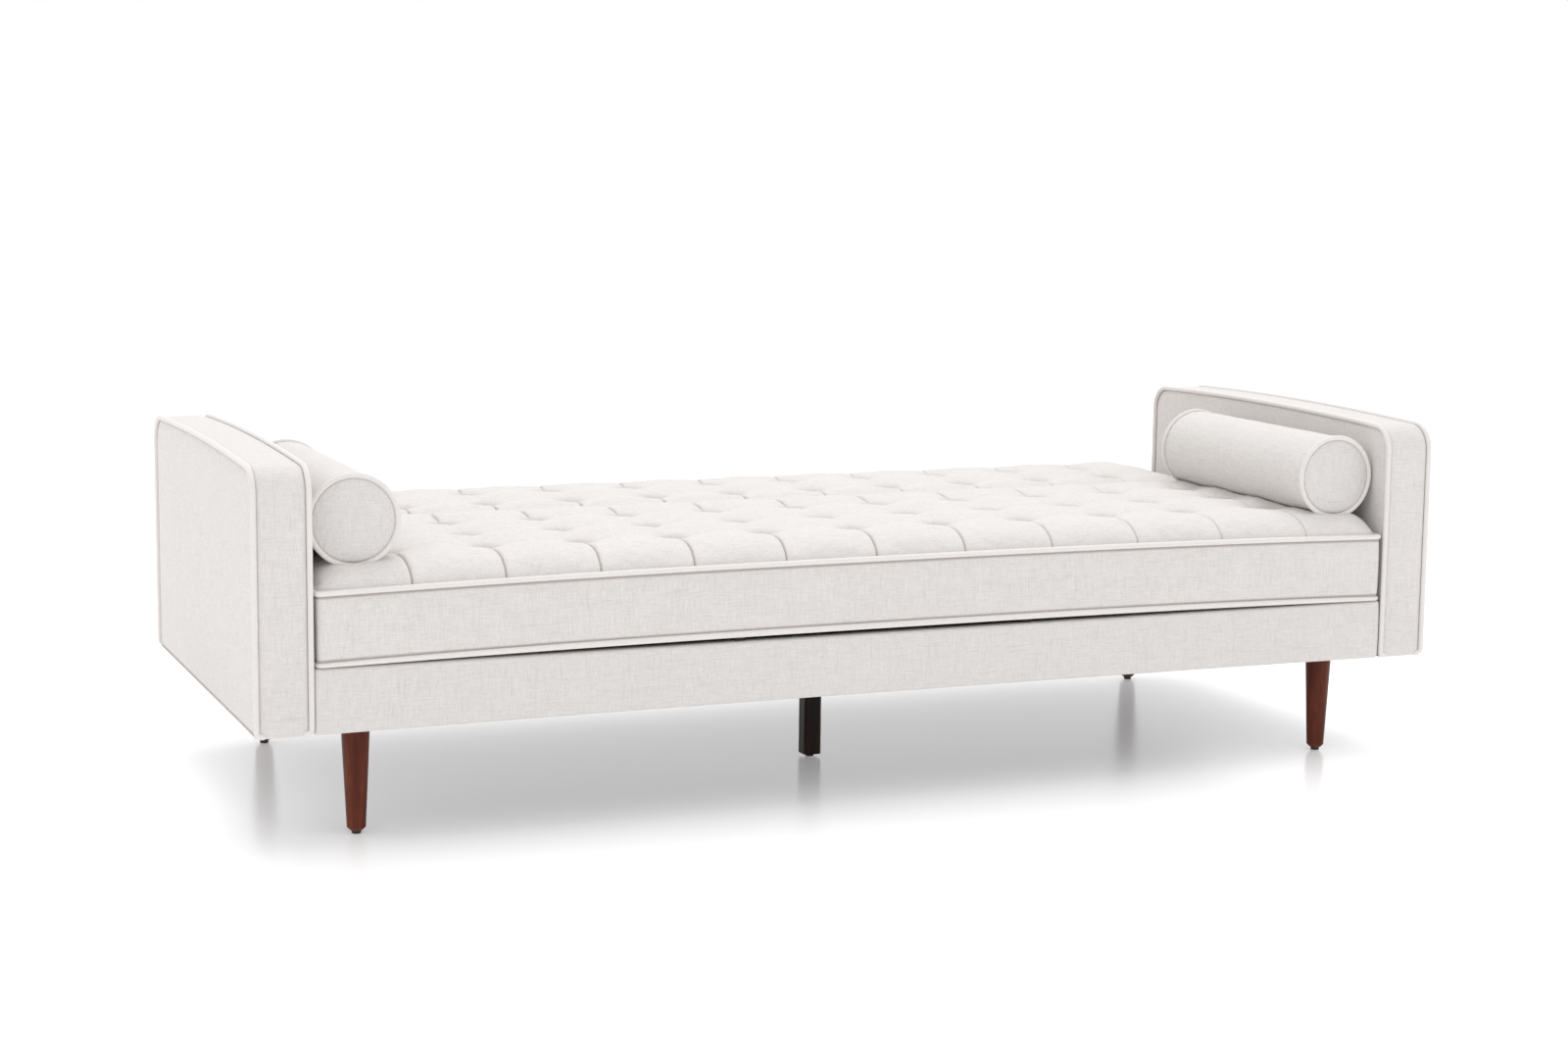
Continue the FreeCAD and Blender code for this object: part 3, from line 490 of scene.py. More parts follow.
def line_places(half, step, clusters=(), ends=()):
    """Places across the cushion: even cells between tuft columns, with extra lines beside each."""
    stops = [-half] + column_places() + [half]
    places = []
    for start, end in zip(stops, stops[1:]):
        cells = int(round((end - start) / step))
        places += [start + (end - start) * k / cells for k in range(cells)]
    places.append(half)
    for column in column_places():
        clear = max(clusters, default=0) * 1.25
        places = [p for p in places if abs(p - column) < 1e-9 or abs(p - column) > clear]
        places += [column + side * offset for offset in clusters for side in (-1, 1)]
    places += [side * (half - offset) for offset in ends for side in (-1, 1)]
    return np.unique(np.round(places, 6))


def pleat_shift(u, y):
    """How far a front pleat leans off its column, growing from the first tuft to the front edge."""
    reach = np.clip((SEAT_TUFT_ROWS[0] - y) / (SEAT_TUFT_ROWS[0] - FRONT_Y), 0, 1)
    lean = 22 * MM * np.clip(1 - (u / (800 * MM)) ** 2, 0, 1) ** 0.7
    return -lean * reach


def nearest_distance(u, y, rows):
    """Distance in plan from each point to the nearest tuft."""
    best = np.full(np.broadcast(u, y).shape, 1e3)
    for column in column_places():
        for row in rows:
            best = np.minimum(best, np.hypot(u - column, y - row))
    return best


def wave(u, y, phase):
    """Slow, fixed unevenness from 0 to 1 over the cloth."""
    value = (np.sin(u * 17.3 + phase) + np.sin(y * 23.1 + 2.1 * phase) + np.sin((u + y) * 31.7 + 0.7 * phase)
             + np.sin((u - 1.3 * y) * 41.9 + 1.7 * phase))
    return value / 8 + 0.5


class Sheet:
    """A tufted top panel over a side-view profile, before and after the cloth simulation."""

    def __init__(self, name, **shape):
        self.name = name
        vars(self).update(shape)
        self.profile = resample(self.profile, SIM_STEP)
        self.u = line_places(self.half, SIM_STEP)
        self.y = self.profile[:, 0]
        tangent = unit(np.gradient(self.profile, axis=0))
        self.normal = np.stack([-tangent[:, 1], tangent[:, 0]], 1)
        self.points = self.start_shape()
        self.pinned = self.pins()

    def side_fall(self):
        """How far the cloth falls along the profile's normal towards its two ends, from 0 to 1."""
        inside = np.clip((self.half - np.abs(self.u)) / self.side_width, 0, 1)
        return 1 - np.sqrt(1 - (1 - inside) ** 2)

    def on_top(self):
        """1 where the profile lies flat, 0 where it stands upright as a wall."""
        return np.clip(self.normal[:, 1], 0, 1)

    def start_shape(self):
        """The biscuit shape before the simulation: full in each panel, low at each tuft, a shallow
        valley between tufts that runs out over every edge as a pleat."""
        u, y = self.u[None, :], self.y[:, None]
        columns = column_places()
        across = np.abs(np.sin(math.pi * u / COLUMN_PITCH))
        beyond = (np.abs(u) - columns[-1]) / (self.half - columns[-1])
        outermost = np.where(beyond < 0.5, np.sin(math.pi * np.clip(beyond, 0, 1)), 1)
        across = np.where(beyond > 0, outermost, across)
        stops = [self.edge_places[0]] + list(self.tuft_rows) + [self.edge_places[1]]
        along = np.zeros_like(y)
        for i, (start, end) in enumerate(zip(stops, stops[1:])):
            share = (y - start) / (end - start)
            if i == 0:
                share = np.maximum(share, 0.5)
            if i == len(stops) - 2:
                share = np.minimum(share, 0.5)
            along = np.where((y >= start) & (y <= end), np.sin(math.pi * np.clip(share, 0, 1)), along)
        along = np.where((y < stops[0]) | (y > stops[-1]), 1, along)
        across, along = across ** 0.75, along ** 0.75
        full = self.ridge * (1 - (1 - across) * (1 - along)) + (1 - self.ridge) * (across + along) / 2
        row = np.arange(len(self.y))
        edge = np.clip(np.minimum(row, row[::-1]) * SIM_STEP / (30 * MM), 0, 1)[:, None] ** 0.7
        fall = self.side_fall()[None, :]
        reach = nearest_distance(u, y, self.tuft_rows)
        dimple = self.tuft_depth * np.exp(-(reach / (34 * MM)) ** 1.5) * self.on_top()[:, None]
        outside = np.maximum(np.clip((stops[1] - y) / (stops[1] - stops[0]), 0, 1),
                             np.clip((y - stops[-2]) / (stops[-1] - stops[-2]), 0, 1))
        valley = (VALLEY_DEPTH * (1 - outside) + PLEAT_DEPTH * outside) * (1 - full)
        rise = -(dimple + valley) * edge * (1 - fall)
        drop = np.interp(y, self.side_drop[0], self.side_drop[1])
        rise = rise - fall * drop * (0.12 + 0.88 * self.on_top()[:, None])
        points = np.zeros((len(self.y), len(self.u), 3))
        points[..., 0] = u + pleat_shift(u, y)
        points[..., 1] = self.profile[:, None, 0] + self.normal[:, None, 0] * rise
        points[..., 2] = self.profile[:, None, 1] + self.normal[:, None, 1] * rise
        return points

    def pins(self):
        u, y = self.u[None, :], self.y[:, None]
        pinned = np.zeros((len(self.y), len(self.u)))
        pinned[[0, -1], :] = 1
        pinned[:, [0, -1]] = 1
        pinned[np.argwhere(self.profile[:, 1] < self.wall_z).ravel(), :] = 1
        pinned[(nearest_distance(u, y, self.tuft_rows) < 7 * MM) & (self.on_top()[:, None] > 0.9)] = 1
        for near, far in self.pleats:
            inside = ((y - near) * (y - far) <= 0)
            for column in column_places():
                pinned[(np.abs(u - column) < 1e-6) & inside] = 1
        return pinned

    def simulate(self, frames, pressure, grow, cap):
        """Lets air pressure fill the pinned cloth, then takes its shape."""
        rows, columns, _ = self.points.shape
        mesh = bpy.data.meshes.new(self.name + "_cloth")
        faces = [face[::-1] for face in grid_faces(rows, columns)]
        mesh.from_pydata([tuple(p) for p in self.points.reshape(-1, 3)], [], faces)
        cloth_object = placed(self.name + "_cloth", mesh)
        group = cloth_object.vertex_groups.new(name="pinned")
        group.add([int(i) for i in np.flatnonzero(self.pinned.ravel() > 0)], 1.0, "REPLACE")
        modifier = cloth_object.modifiers.new("Cloth", "CLOTH")
        for key, value in CLOTH.items():
            setattr(modifier.settings, key, value)
        modifier.settings.vertex_group_mass = "pinned"
        modifier.settings.shrink_min = -grow
        modifier.settings.uniform_pressure_force = pressure
        modifier.settings.effector_weights.gravity = 0
        modifier.collision_settings.use_collision = False
        modifier.point_cache.frame_start = 1
        modifier.point_cache.frame_end = frames
        scene = bpy.context.scene
        for moment in range(1, frames + 1):
            scene.frame_set(moment)
        shaped = cloth_object.evaluated_get(bpy.context.evaluated_depsgraph_get())
        filled = np.zeros(rows * columns * 3)
        shaped.data.vertices.foreach_get("co", filled)
        filled = filled.reshape(rows, columns, 3)
        scene.frame_set(1)
        bpy.data.objects.remove(cloth_object)
        bpy.data.meshes.remove(mesh)
        moved = filled - self.points
        far = np.linalg.norm(moved, axis=2, keepdims=True)
        self.points = self.points + moved * np.minimum(1, cap / np.maximum(far, 1e-9))


def seat_sheet():
    front = FRONT_Y + 4 * MM
    seam_z = 403 * MM
    reach, rise = 62 * MM, SEAT_CROWN_Z - seam_z
    turn = np.radians(np.linspace(0, 90, 16))
    shoulder = np.stack([front + reach * (1 - np.cos(turn)), seam_z + rise * np.sin(turn)], 1)
    radius = 45 * MM
    rear = seat_high.y
    corner = arc((rear - radius, SEAT_CROWN_Z - radius), radius, 90, 0)
    profile = np.vstack([shoulder, corner, [[rear, seat_low.z + 6 * MM]]])
    pleats = [(SEAT_TUFT_ROWS[0], FRONT_Y), (SEAT_TUFT_ROWS[-1], 200 * MM)]
    return Sheet("seat", half=BED_HALF - 1 * MM, profile=profile, tuft_rows=SEAT_TUFT_ROWS,
                 tuft_depth=SEAT_TUFT_DEPTH, ridge=0.5, pleats=pleats, edge_places=(FRONT_Y, 80 * MM),
                 side_width=55 * MM, side_drop=SEAT_END_DROP, wall_z=385 * MM, phase=1.3)


def back_sheet():
    front, rear = back_low.y, back_high.y
    joint, edge, under = 40 * MM, 52 * MM, 20 * MM
    low = back_low.z
    joint_z, joint_rise = 407 * MM, 75 * MM
    share = np.linspace(0, 1, 12)[1:]
    slope = np.c_[front + joint + joint_rise * share,
                  joint_z + (BACK_CROWN_Z - joint_z) * (1 - np.cos(math.pi * share)) / 2]
    profile = np.vstack([
        [[front, low + 4 * MM]],
        arc((front + joint, joint_z - joint), joint, 180, 90),
        slope,
        arc((rear - edge, BACK_CROWN_Z - edge), edge, 90, 0),
        arc((rear - under, low + under), under, 0, -90),
    ])
    pleats = [(BACK_TUFT_ROWS[0], 0.0), (BACK_TUFT_ROWS[1], 600 * MM)]
    return Sheet("back", half=BED_HALF - 1 * MM, profile=profile, tuft_rows=BACK_TUFT_ROWS,
                 tuft_depth=BACK_TUFT_DEPTH, ridge=0.7, pleats=pleats, edge_places=(80 * MM, 470 * MM),
                 side_width=60 * MM, side_drop=BACK_END_DROP, wall_z=355 * MM, phase=4.1)


def bow(x):
    """1 at the middle of the seat's front, falling to 0 at its ends."""
    return 1 - np.clip(np.abs(x) / BED_HALF, 0, 1) ** 2.6


TOP_SEAM_END_Z = 394 * MM
TOP_SEAM_RISE = 9 * MM
LOW_SEAM_END_Z = 283.5 * MM
LOW_SEAM_RISE = 8.5 * MM
SEAT_FRONT_WIDER = 5.5 * MM


def top_seam_z(x):
    return TOP_SEAM_END_Z + TOP_SEAM_RISE * bow(x)


def low_seam_z(x):
    return LOW_SEAM_END_Z + LOW_SEAM_RISE * bow(x)


def corner_round(x, half, radius):
    """How far a face draws back to round off the plan's corners."""
    over = np.clip(np.abs(x) - (half - radius), 0, radius)
    return radius - np.sqrt(radius ** 2 - over ** 2)


def fine_sheet(sheet, u_step=5.4 * MM, s_step=5.2 * MM):
    """The simulated sheet on finer lines that crowd at its creases, with the creases cut in.
    Gives the lines across, the points, and the painted shade of each point in the pleat seams and tuft
    dimples."""
    u_fine = line_places(sheet.half, u_step, clusters=(1.1 * MM, 2.4 * MM, 4.2 * MM),
                         ends=(1 * MM, 2.5 * MM, 5 * MM, 8 * MM, 12 * MM))
    rows = len(sheet.y)
    s_places = list(np.linspace(0, rows - 1, int(round(rows * SIM_STEP / s_step))))
    for row in sheet.tuft_rows:
        centre = float(np.interp(row, sheet.y[:rows - 1], np.arange(rows - 1)))
        s_places += [centre + offset * MM / SIM_STEP for offset in (-3.6, -1.8, 0, 1.8, 3.6)]
    s_places = np.unique(np.round(s_places, 3))
    u_places = np.interp(u_fine, sheet.u, np.arange(len(sheet.u)))
    dense = cubic_rows(sheet.points, s_places)
    dense = cubic_rows(dense.transpose(1, 0, 2), u_places).transpose(1, 0, 2)
    y_fine = np.interp(s_places, np.arange(rows), sheet.y)
    normal = unit(np.cross(np.gradient(dense, axis=1), np.gradient(dense, axis=0)))
    u, y = u_fine[None, :], y_fine[:, None]
    on_top = np.interp(s_places, np.arange(rows), sheet.on_top())[:, None]
    push = np.zeros(dense.shape[:2])
    seam_and_shade = np.zeros(dense.shape[:2])
    for near, far in sheet.pleats:
        inside = np.clip(np.abs(y - near) / (50 * MM), 0, 1) ** 1.5 * (((y - near) * (y - far)) <= 0)
        for column in column_places():
            tight = float(np.interp(column, (0, 800 * MM), (1.0, 0.45)))
            push -= PLEAT_CUT * tight * np.exp(-(np.abs(u - column) / (2.0 * MM)) ** 1.6) * inside
            push += PLEAT_ROLL * tight * np.exp(-((u - column - 7 * MM) / (5 * MM)) ** 2) * inside
            # Painted shade along each pleat's seam.
            seam_and_shade = np.maximum(seam_and_shade, tight * np.exp(-(np.abs(u - column) / (1.3 * MM)) ** 2) * inside)
    for column in column_places():
        for row in sheet.tuft_rows:
            du, dy = np.abs(u - column), np.abs(y - row)
            near_tuft = np.exp(-np.hypot(du, dy) / (24 * MM)) * on_top
            push -= TUFT_CUT_ALONG * near_tuft * np.exp(-(du / (2.6 * MM)) ** 1.5)
            push -= TUFT_CUT_ACROSS * near_tuft * np.exp(-(dy / (3.0 * MM)) ** 1.5)
    reach = nearest_distance(u, y, sheet.tuft_rows)
    push -= TUFT_PULL * np.exp(-(reach / (15 * MM)) ** 2) * on_top
    # Painted shade in the dimple round each tuft, darkest near its crease.
    seam_and_shade = np.maximum(seam_and_shade, 0.5 * np.exp(-(reach / (24 * MM)) ** 3) * on_top)
    push += CLOTH_UNEVEN * (wave(u * 1.6, y * 1.6, sheet.phase) - 0.5)
    return u_fine, dense + normal * push[..., None], seam_and_shade


def pressed_by_bolsters(top):
    """Where a bolster lies on the cushion, the cushion takes its round shape."""
    for side in ("left", "right"):
        low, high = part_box(side + "_bolster_cover")
        centre = (low + high) / 2
        radius = (high.x - low.x) / 2 + 0.5 * MM
        away = np.abs(top[..., 0] - centre.x)
        under = centre.z - np.sqrt(np.clip(radius ** 2 - away ** 2, 0, None))
        past_end = np.clip(np.maximum(low.y - top[..., 1], top[..., 1] - high.y), 0, None)
        limit = np.where(away < radius, under + past_end * 0.9, 1.0)
        top[..., 2] = np.minimum(top[..., 2], limit)
    return top


def seam_rows():
    """Shares up the boxing, close together beside both seams."""
    close = [0, 0.008, 0.018, 0.032, 0.055, 0.09]
    return np.array(close + list(np.linspace(0.14, 0.86, 14)) + [1 - c for c in close[:0:-1]])


def seat_cushion(sheet):
    """The closed seat cushion: tufted top, boxed front, rear wall and flat underside."""
    u, top, top_crease_shade = fine_sheet(sheet)
    up = seam_rows()[:, None]
    x = u[None, :] * (BED_HALF + SEAT_FRONT_WIDER) / sheet.half
    z0, z1 = low_seam_z(x), top_seam_z(x)
    z = z0 + (z1 - z0) * up
    swell = 2.8 * MM * (1 - (2 * up - 1) ** 4)
    beside = np.exp(-up * 38) + np.exp(-(1 - up) * 38)
    uneven = 0.9 * MM * (wave(x * 0.8, z * 2.0, 0.4) - 0.5) * (1 - (2 * up - 1) ** 2)
    rounding = corner_round(x, BED_HALF + SEAT_FRONT_WIDER, 9 * MM)
    y = FRONT_Y + 0.2 * MM - swell + 4.0 * MM * beside - uneven + rounding
    boxing = np.stack([np.broadcast_to(x, z.shape), y, z], 2)
    # Painted shade in the creases just inside the top and bottom piping of the boxing.
    boxing_seam_shade = np.exp(-((up - 0.05) / 0.016) ** 2) + np.exp(-((0.95 - up) / 0.016) ** 2)
    boxing_seam_shade = np.broadcast_to(boxing_seam_shade, z.shape)
    top = top.copy()
    lift = top_seam_z(u) - top[0, :, 2]
    fade = np.exp(-np.arange(top.shape[0]) / 9.0)[:, None]
    top[..., 2] += lift[None, :] * fade
    top[..., 1] += corner_round(u, BED_HALF, 10 * MM)[None, :] * fade
    wider = 1 + (SEAT_FRONT_WIDER / BED_HALF) * np.clip((-180 * MM - top[..., 1]) / (120 * MM), 0, 1)
    top[..., 0] *= wider
    top = pressed_by_bolsters(top)
    share = np.linspace(0, 1, 17)[1:-1, None, None]
    start, end = top[-1].copy(), boxing[0].copy()
    under = start[None] + (end - start)[None] * share
    flat = seat_low.z + 1 * MM
    under[..., 2] = flat + (under[..., 2] - flat) * np.exp(-10 * (1 - share[..., 0]))
    rings = np.concatenate([boxing, top, under]).transpose(1, 0, 2)
    seam_and_shade = np.concatenate([boxing_seam_shade, top_crease_shade, np.zeros(under.shape[:2])]).T
    return capped_loft(rings, 0.6 * MM), seam_and_shade


def back_cushion(sheet):
    """The closed back cushion: one tufted cover over the top and both long edges."""
    _, top, top_crease_shade = fine_sheet(sheet)
    share = np.linspace(0, 1, 18)[1:-1, None, None]
    under = top[-1][None] + (top[0] - top[-1])[None] * share
    under[..., 2] = np.minimum(under[..., 2], back_low.z + 5 * MM)
    rings = np.concatenate([top, under]).transpose(1, 0, 2)
    # Painted shade from the tufted top; the underside gets none.
    seam_and_shade = np.concatenate([top_crease_shade, np.zeros(under.shape[:2])]).T
    return capped_loft(rings, 0.6 * MM), seam_and_shade


def outer_panel(low, high):
    """The flat fabric panel over the back's outer side: soft edges and a stitched border, with a shallow
    groove and painted shade along the stitching.
    """
    edge = 2.4 * MM
    y0, y1, z0, z1 = low.y + edge, high.y - edge, low.z + edge, high.z - edge
    across = np.r_[0, np.array([10, 13, 15, 17, 20]) * MM]
    across = np.r_[across, np.linspace(60 * MM, y1 - y0 - 60 * MM, 8), y1 - y0 - across[::-1]]
    corner = [arc((y, z), edge, start, start + 90, 5)
              for y, z, start in ((y1, z1, 0), (y0, z1, 90), (y0, z0, 180), (y1, z0, 270))]
    lower = np.c_[y0 + across[1:-1], np.full(len(across) - 2, low.z)]
    upper = np.c_[y0 + across[1:-1], np.full(len(across) - 2, high.z)]
    outline = np.vstack([corner[0], upper[::-1], corner[1], corner[2], lower, corner[3]])
    border = np.minimum(outline[:, 0] - low.y, high.y - outline[:, 0])
    # Along the stitched line: a shallow groove in the shape, and painted shade in its colour.
    stitch_groove_and_shade = np.exp(-((border - 17.4 * MM) / (1.2 * MM)) ** 2) * (outline[:, 1] < low.z + edge)
    outline[:, 1] += stitch_groove_and_shade * 0.9 * MM
    x = np.linspace(low.x + 2 * MM, high.x - 2 * MM, 60)
    rings = np.array([np.c_[np.full(len(outline), place), outline] for place in x])
    points, faces = capped_loft(rings, 2 * MM)
    return points, faces, np.tile(stitch_groove_and_shade, len(x))


# ---- camera

CAMERA_PLACE = Vector((-1.8962, -4.5880, 1.1063))
CAMERA_YAW, CAMERA_DOWN, CAMERA_ROLL = (math.radians(a) for a in (22.50, 8.13, 0.638))
CAMERA_LENS = 64.03

ahead = Vector((math.sin(CAMERA_YAW) * math.cos(CAMERA_DOWN), math.cos(CAMERA_YAW) * math.cos(CAMERA_DOWN),
                -math.sin(CAMERA_DOWN)))
level = Vector((math.cos(CAMERA_YAW), -math.sin(CAMERA_YAW), 0))
upward = level.cross(ahead)
cam_x = level * math.cos(CAMERA_ROLL) + upward * math.sin(CAMERA_ROLL)
cam_y = upward * math.cos(CAMERA_ROLL) - level * math.sin(CAMERA_ROLL)
camera_data = bpy.data.cameras.new("camera")
camera_data.lens = CAMERA_LENS
camera_data.sensor_width = 36
camera_data.clip_end = 60
camera = placed("camera", camera_data)
turn = Matrix((cam_x, cam_y, -ahead)).transposed().to_4x4()
camera.matrix_world = Matrix.Translation(CAMERA_PLACE) @ turn
bpy.context.scene.camera = camera

# ---- cushions

for body, make_sheet, make_cushion in (
    ("seat", seat_sheet, seat_cushion),
    ("back", back_sheet, back_cushion),
):
    cushion_sheet = make_sheet()
    cushion_sheet.simulate(frames=10, pressure=2.0, grow=0.004, cap=10 * MM)
    (points, faces), seam_and_shade = make_cushion(cushion_sheet)
    upholstered(body + "_cushion", points, faces, seam_and_shade.ravel(), body, body + "_cover")


# ---- piping

PIPING_STEP = 5 * MM


def piping(name, path, radius, body, closed=False, stands_for=()):
    """Round piping on a dense path."""
    points, faces = tube_mesh(path, radius, closed=closed)
    piece = mesh_piece(name, points, faces, bias_linen_highlit, body)
    if stands_for:
        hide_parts(*stands_for)


def seat_piping(name, height, radius_end, radius_middle, stands_for=()):
    """Piping round the front and both ends of the seat, following the boxing's seam."""
    rear_y = 45 * MM
    corner = 9 * MM
    half = BED_HALF + SEAT_FRONT_WIDER
    x = np.linspace(-half + corner, half - corner, 240)
    front = np.stack([x, np.full_like(x, FRONT_Y), height(x)], 1)
    end_z = float(height(np.array([BED_HALF]))[0])
    left = arc((-half + corner, FRONT_Y + corner), corner, 180, 270)
    right = arc((half - corner, FRONT_Y + corner), corner, 270, 360)
    left, right = (np.c_[flat, np.full(len(flat), end_z)] for flat in (left, right))
    back_from = np.array([[half, -300 * MM, end_z], [BED_HALF, -180 * MM, end_z], [BED_HALF, rear_y, end_z]])
    path = np.vstack([back_from[::-1] * (-1, 1, 1), left, front, right, back_from])
    path = resample(path, PIPING_STEP)
    radius = radius_end + (radius_middle - radius_end) * bow(path[:, 0]) ** 0.6
    piping(name, path, radius, "seat", stands_for=stands_for)


seat_piping("seat_top_piping", top_seam_z, 4.2 * MM, 4.6 * MM, ("seat_welts",))
seat_piping("seat_bottom_piping", low_seam_z, 3.6 * MM, 5.4 * MM)


# ---- arms

ARM_CORNER_RADIUS = 42 * MM
ARM_CROWN = 9 * MM


def arm_outline(low, high, step=9 * MM):
    """The arm's side view as a closed ring of (y, z), starting at the front's foot and going up."""
    radius, corner_z = ARM_CORNER_RADIUS, high.z - 7.3 * MM
    front, rear = low.y, high.y
    middle = (front + rear) / 2
    top_y = np.linspace(front + radius, rear - radius, 60)
    share = (top_y - middle) / ((rear - front) / 2)
    top = np.stack([top_y, corner_z + ARM_CROWN * 0.93 * (1 - share ** 2) - 0.6 * MM], 1)
    z0 = top[0, 1]
    foot = 7 * MM
    ring = np.vstack([
        arc((front + foot, low.z + foot), foot, 270, 180, 6),
        arc((front + radius, z0 - radius), radius, 180, 90, 20),
        top,
        arc((rear - radius, z0 - radius), radius, 90, 0, 20),
        arc((rear - foot, low.z + foot), foot, 0, -90, 6),
    ])
    return resample(ring, step, closed=True)


def ring_normals(ring):
    tangent = unit(np.roll(ring, -1, 0) - np.roll(ring, 1, 0))
    return np.stack([-tangent[:, 1], tangent[:, 0]], 1)


def welt_shade(distance):
    """Painted shade in the crease beside the piping, at a distance from the arm's edge."""
    return 0.6 * math.exp(-((distance - WELT_RADIUS) / (1.2 * MM)) ** 2)


def arm_cushion(side, low, high):
    """Closed arm: a padded band round the edge between two crowned side panels."""
    ring = arm_outline(low, high)
    outward = ring_normals(ring)
    count = len(ring)
    width = high.x - low.x
    inner_x, direction = (low.x, 1) if side == "right" else (high.x, -1)
    band = np.r_[0.5, 2, 4, 5.5, 7, 9, 12, 16, np.linspace(22, 63, 7), 69, 73, 76, 78, 79.5, 81, 83, 84.5]
    band = band / 85 * width
    rings, seam_and_shade = [], []
    for across in band:
        near = min(across, width - across)
        middle = 1 - (2 * across / width - 1) ** 2
        puff = 1.8 * MM * middle ** 0.6 - 4.2 * MM * math.exp(-(near / (6.5 * MM)) ** 2)
        under = np.clip((low.z + 20 * MM - ring[:, 1]) / (20 * MM), 0, 1)
        lift = puff * (1 - 0.7 * under) + 0.5 * MM * (wave(ring[:, 0], ring[:, 1] * 2, 0.9) - 0.5) * middle
        edge = ring + outward * lift[:, None]
        rings.append(np.c_[np.full(count, inner_x + direction * across), edge])
        seam_and_shade.append(np.full(count, welt_shade(near)))
    points = [np.array(rings).reshape(-1, 3)]
    faces = grid_faces(len(band), count, close_columns=True)
    total = len(band) * count
    centre = np.array([(low.y + high.y) / 2, (low.z + high.z) / 2])
    insets = np.array([2.5, 4.2, 5.5, 7, 9, 12, 18, 26, 38, 55, 80, 110, 145, 175]) * MM
    half_height = (high.z - low.z) / 2
    for end, face_x, out, crown, unevenness in (
        (0, inner_x, -direction, 0.9 * MM, 0.3),
        (1, inner_x + direction * width, direction, 2.4 * MM, 1),
    ):
        previous = end * (len(band) - 1) * count
        last = None
        for inset in insets:
            share = inset / half_height
            inner = centre + (ring - centre) * np.array([1 - inset / ((high.y - low.y) / 2), 1 - share])
            dip = -4.0 * MM * math.exp(-(inset / (6.5 * MM)) ** 2)
            swell = crown * (1 - (1 - min(1, share * 1.15)) ** 2)
            uneven = 0.7 * MM * (wave(inner[:, 0], inner[:, 1], 2.2 + end) - 0.5) * min(1, share * 3)
            x = face_x + out * (dip + swell + uneven * unevenness)
            last = np.c_[x, inner]
            points.append(last)
            seam_and_shade.append(np.full(count, welt_shade(inset)))
            faces += [(previous + i, previous + (i + 1) % count, total + (i + 1) % count, total + i)
                      for i in range(count)]
            previous = total
            total += count
        points.append(last.mean(0)[None])
        seam_and_shade.append(np.zeros(1))
        faces += [(previous + i, previous + (i + 1) % count, total) for i in range(count)]
        total += 1
    return np.concatenate(points), faces, np.concatenate(seam_and_shade)


def arm_piping_path(low, high, x, tuck):
    """Up the front edge, over the top and down the rear, tucked under at both feet."""
    ring = arm_outline(low, high, 3 * MM)
    kept = ring[ring[:, 1] > low.z + 14 * MM]
    start = int(np.argmax(np.linalg.norm(np.diff(np.vstack([kept, kept[:1]]), axis=0), axis=1)))
    kept = np.roll(kept, -(start + 1), axis=0)
    if kept[0, 0] > kept[-1, 0]:
        kept = kept[::-1]
    path = np.c_[np.full(len(kept), x), kept]
    bend = 10 * MM
    front_y, rear_y = low.y, high.y
    down = np.array([[x, front_y, low.z + bend]])
    turn_angle = np.radians(np.linspace(0, 90, 8))[1:]
    curl = np.stack([x + tuck * bend * (1 - np.cos(turn_angle)), np.full(7, front_y) + 0.5 * MM,
                     low.z + bend - (bend - WELT_RADIUS) * np.sin(turn_angle)], 1)
    curl_rear = curl.copy()
    curl_rear[:, 1] = rear_y - 0.5 * MM
    path = np.vstack([curl[::-1], down, path, [[x, rear_y, low.z + bend]], curl_rear])
    return resample(path, PIPING_STEP)


for side in ("left", "right"):
    cover = side + "_arm_cover"
    low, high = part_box(cover)
    # Each arm carries painted shade in the creases beside its piping.
    arm_points, arm_faces, arm_crease_shade = arm_cushion(side, low, high)
    upholstered(side + "_arm", arm_points, arm_faces, arm_crease_shade, "base", cover)
    outer_way = 1 if side == "right" else -1
    inner_x, outer_x = (low.x, high.x) if side == "right" else (high.x, low.x)
    inner_path = arm_piping_path(low, high, inner_x, outer_way)
    outer_path = arm_piping_path(low, high, outer_x, -outer_way)
    piping(side + "_arm_inner_piping", inner_path, WELT_RADIUS, "base", stands_for=(side + "_arm_welts",))
    piping(side + "_arm_outer_piping", outer_path, WELT_RADIUS, "base")


# ---- base rails

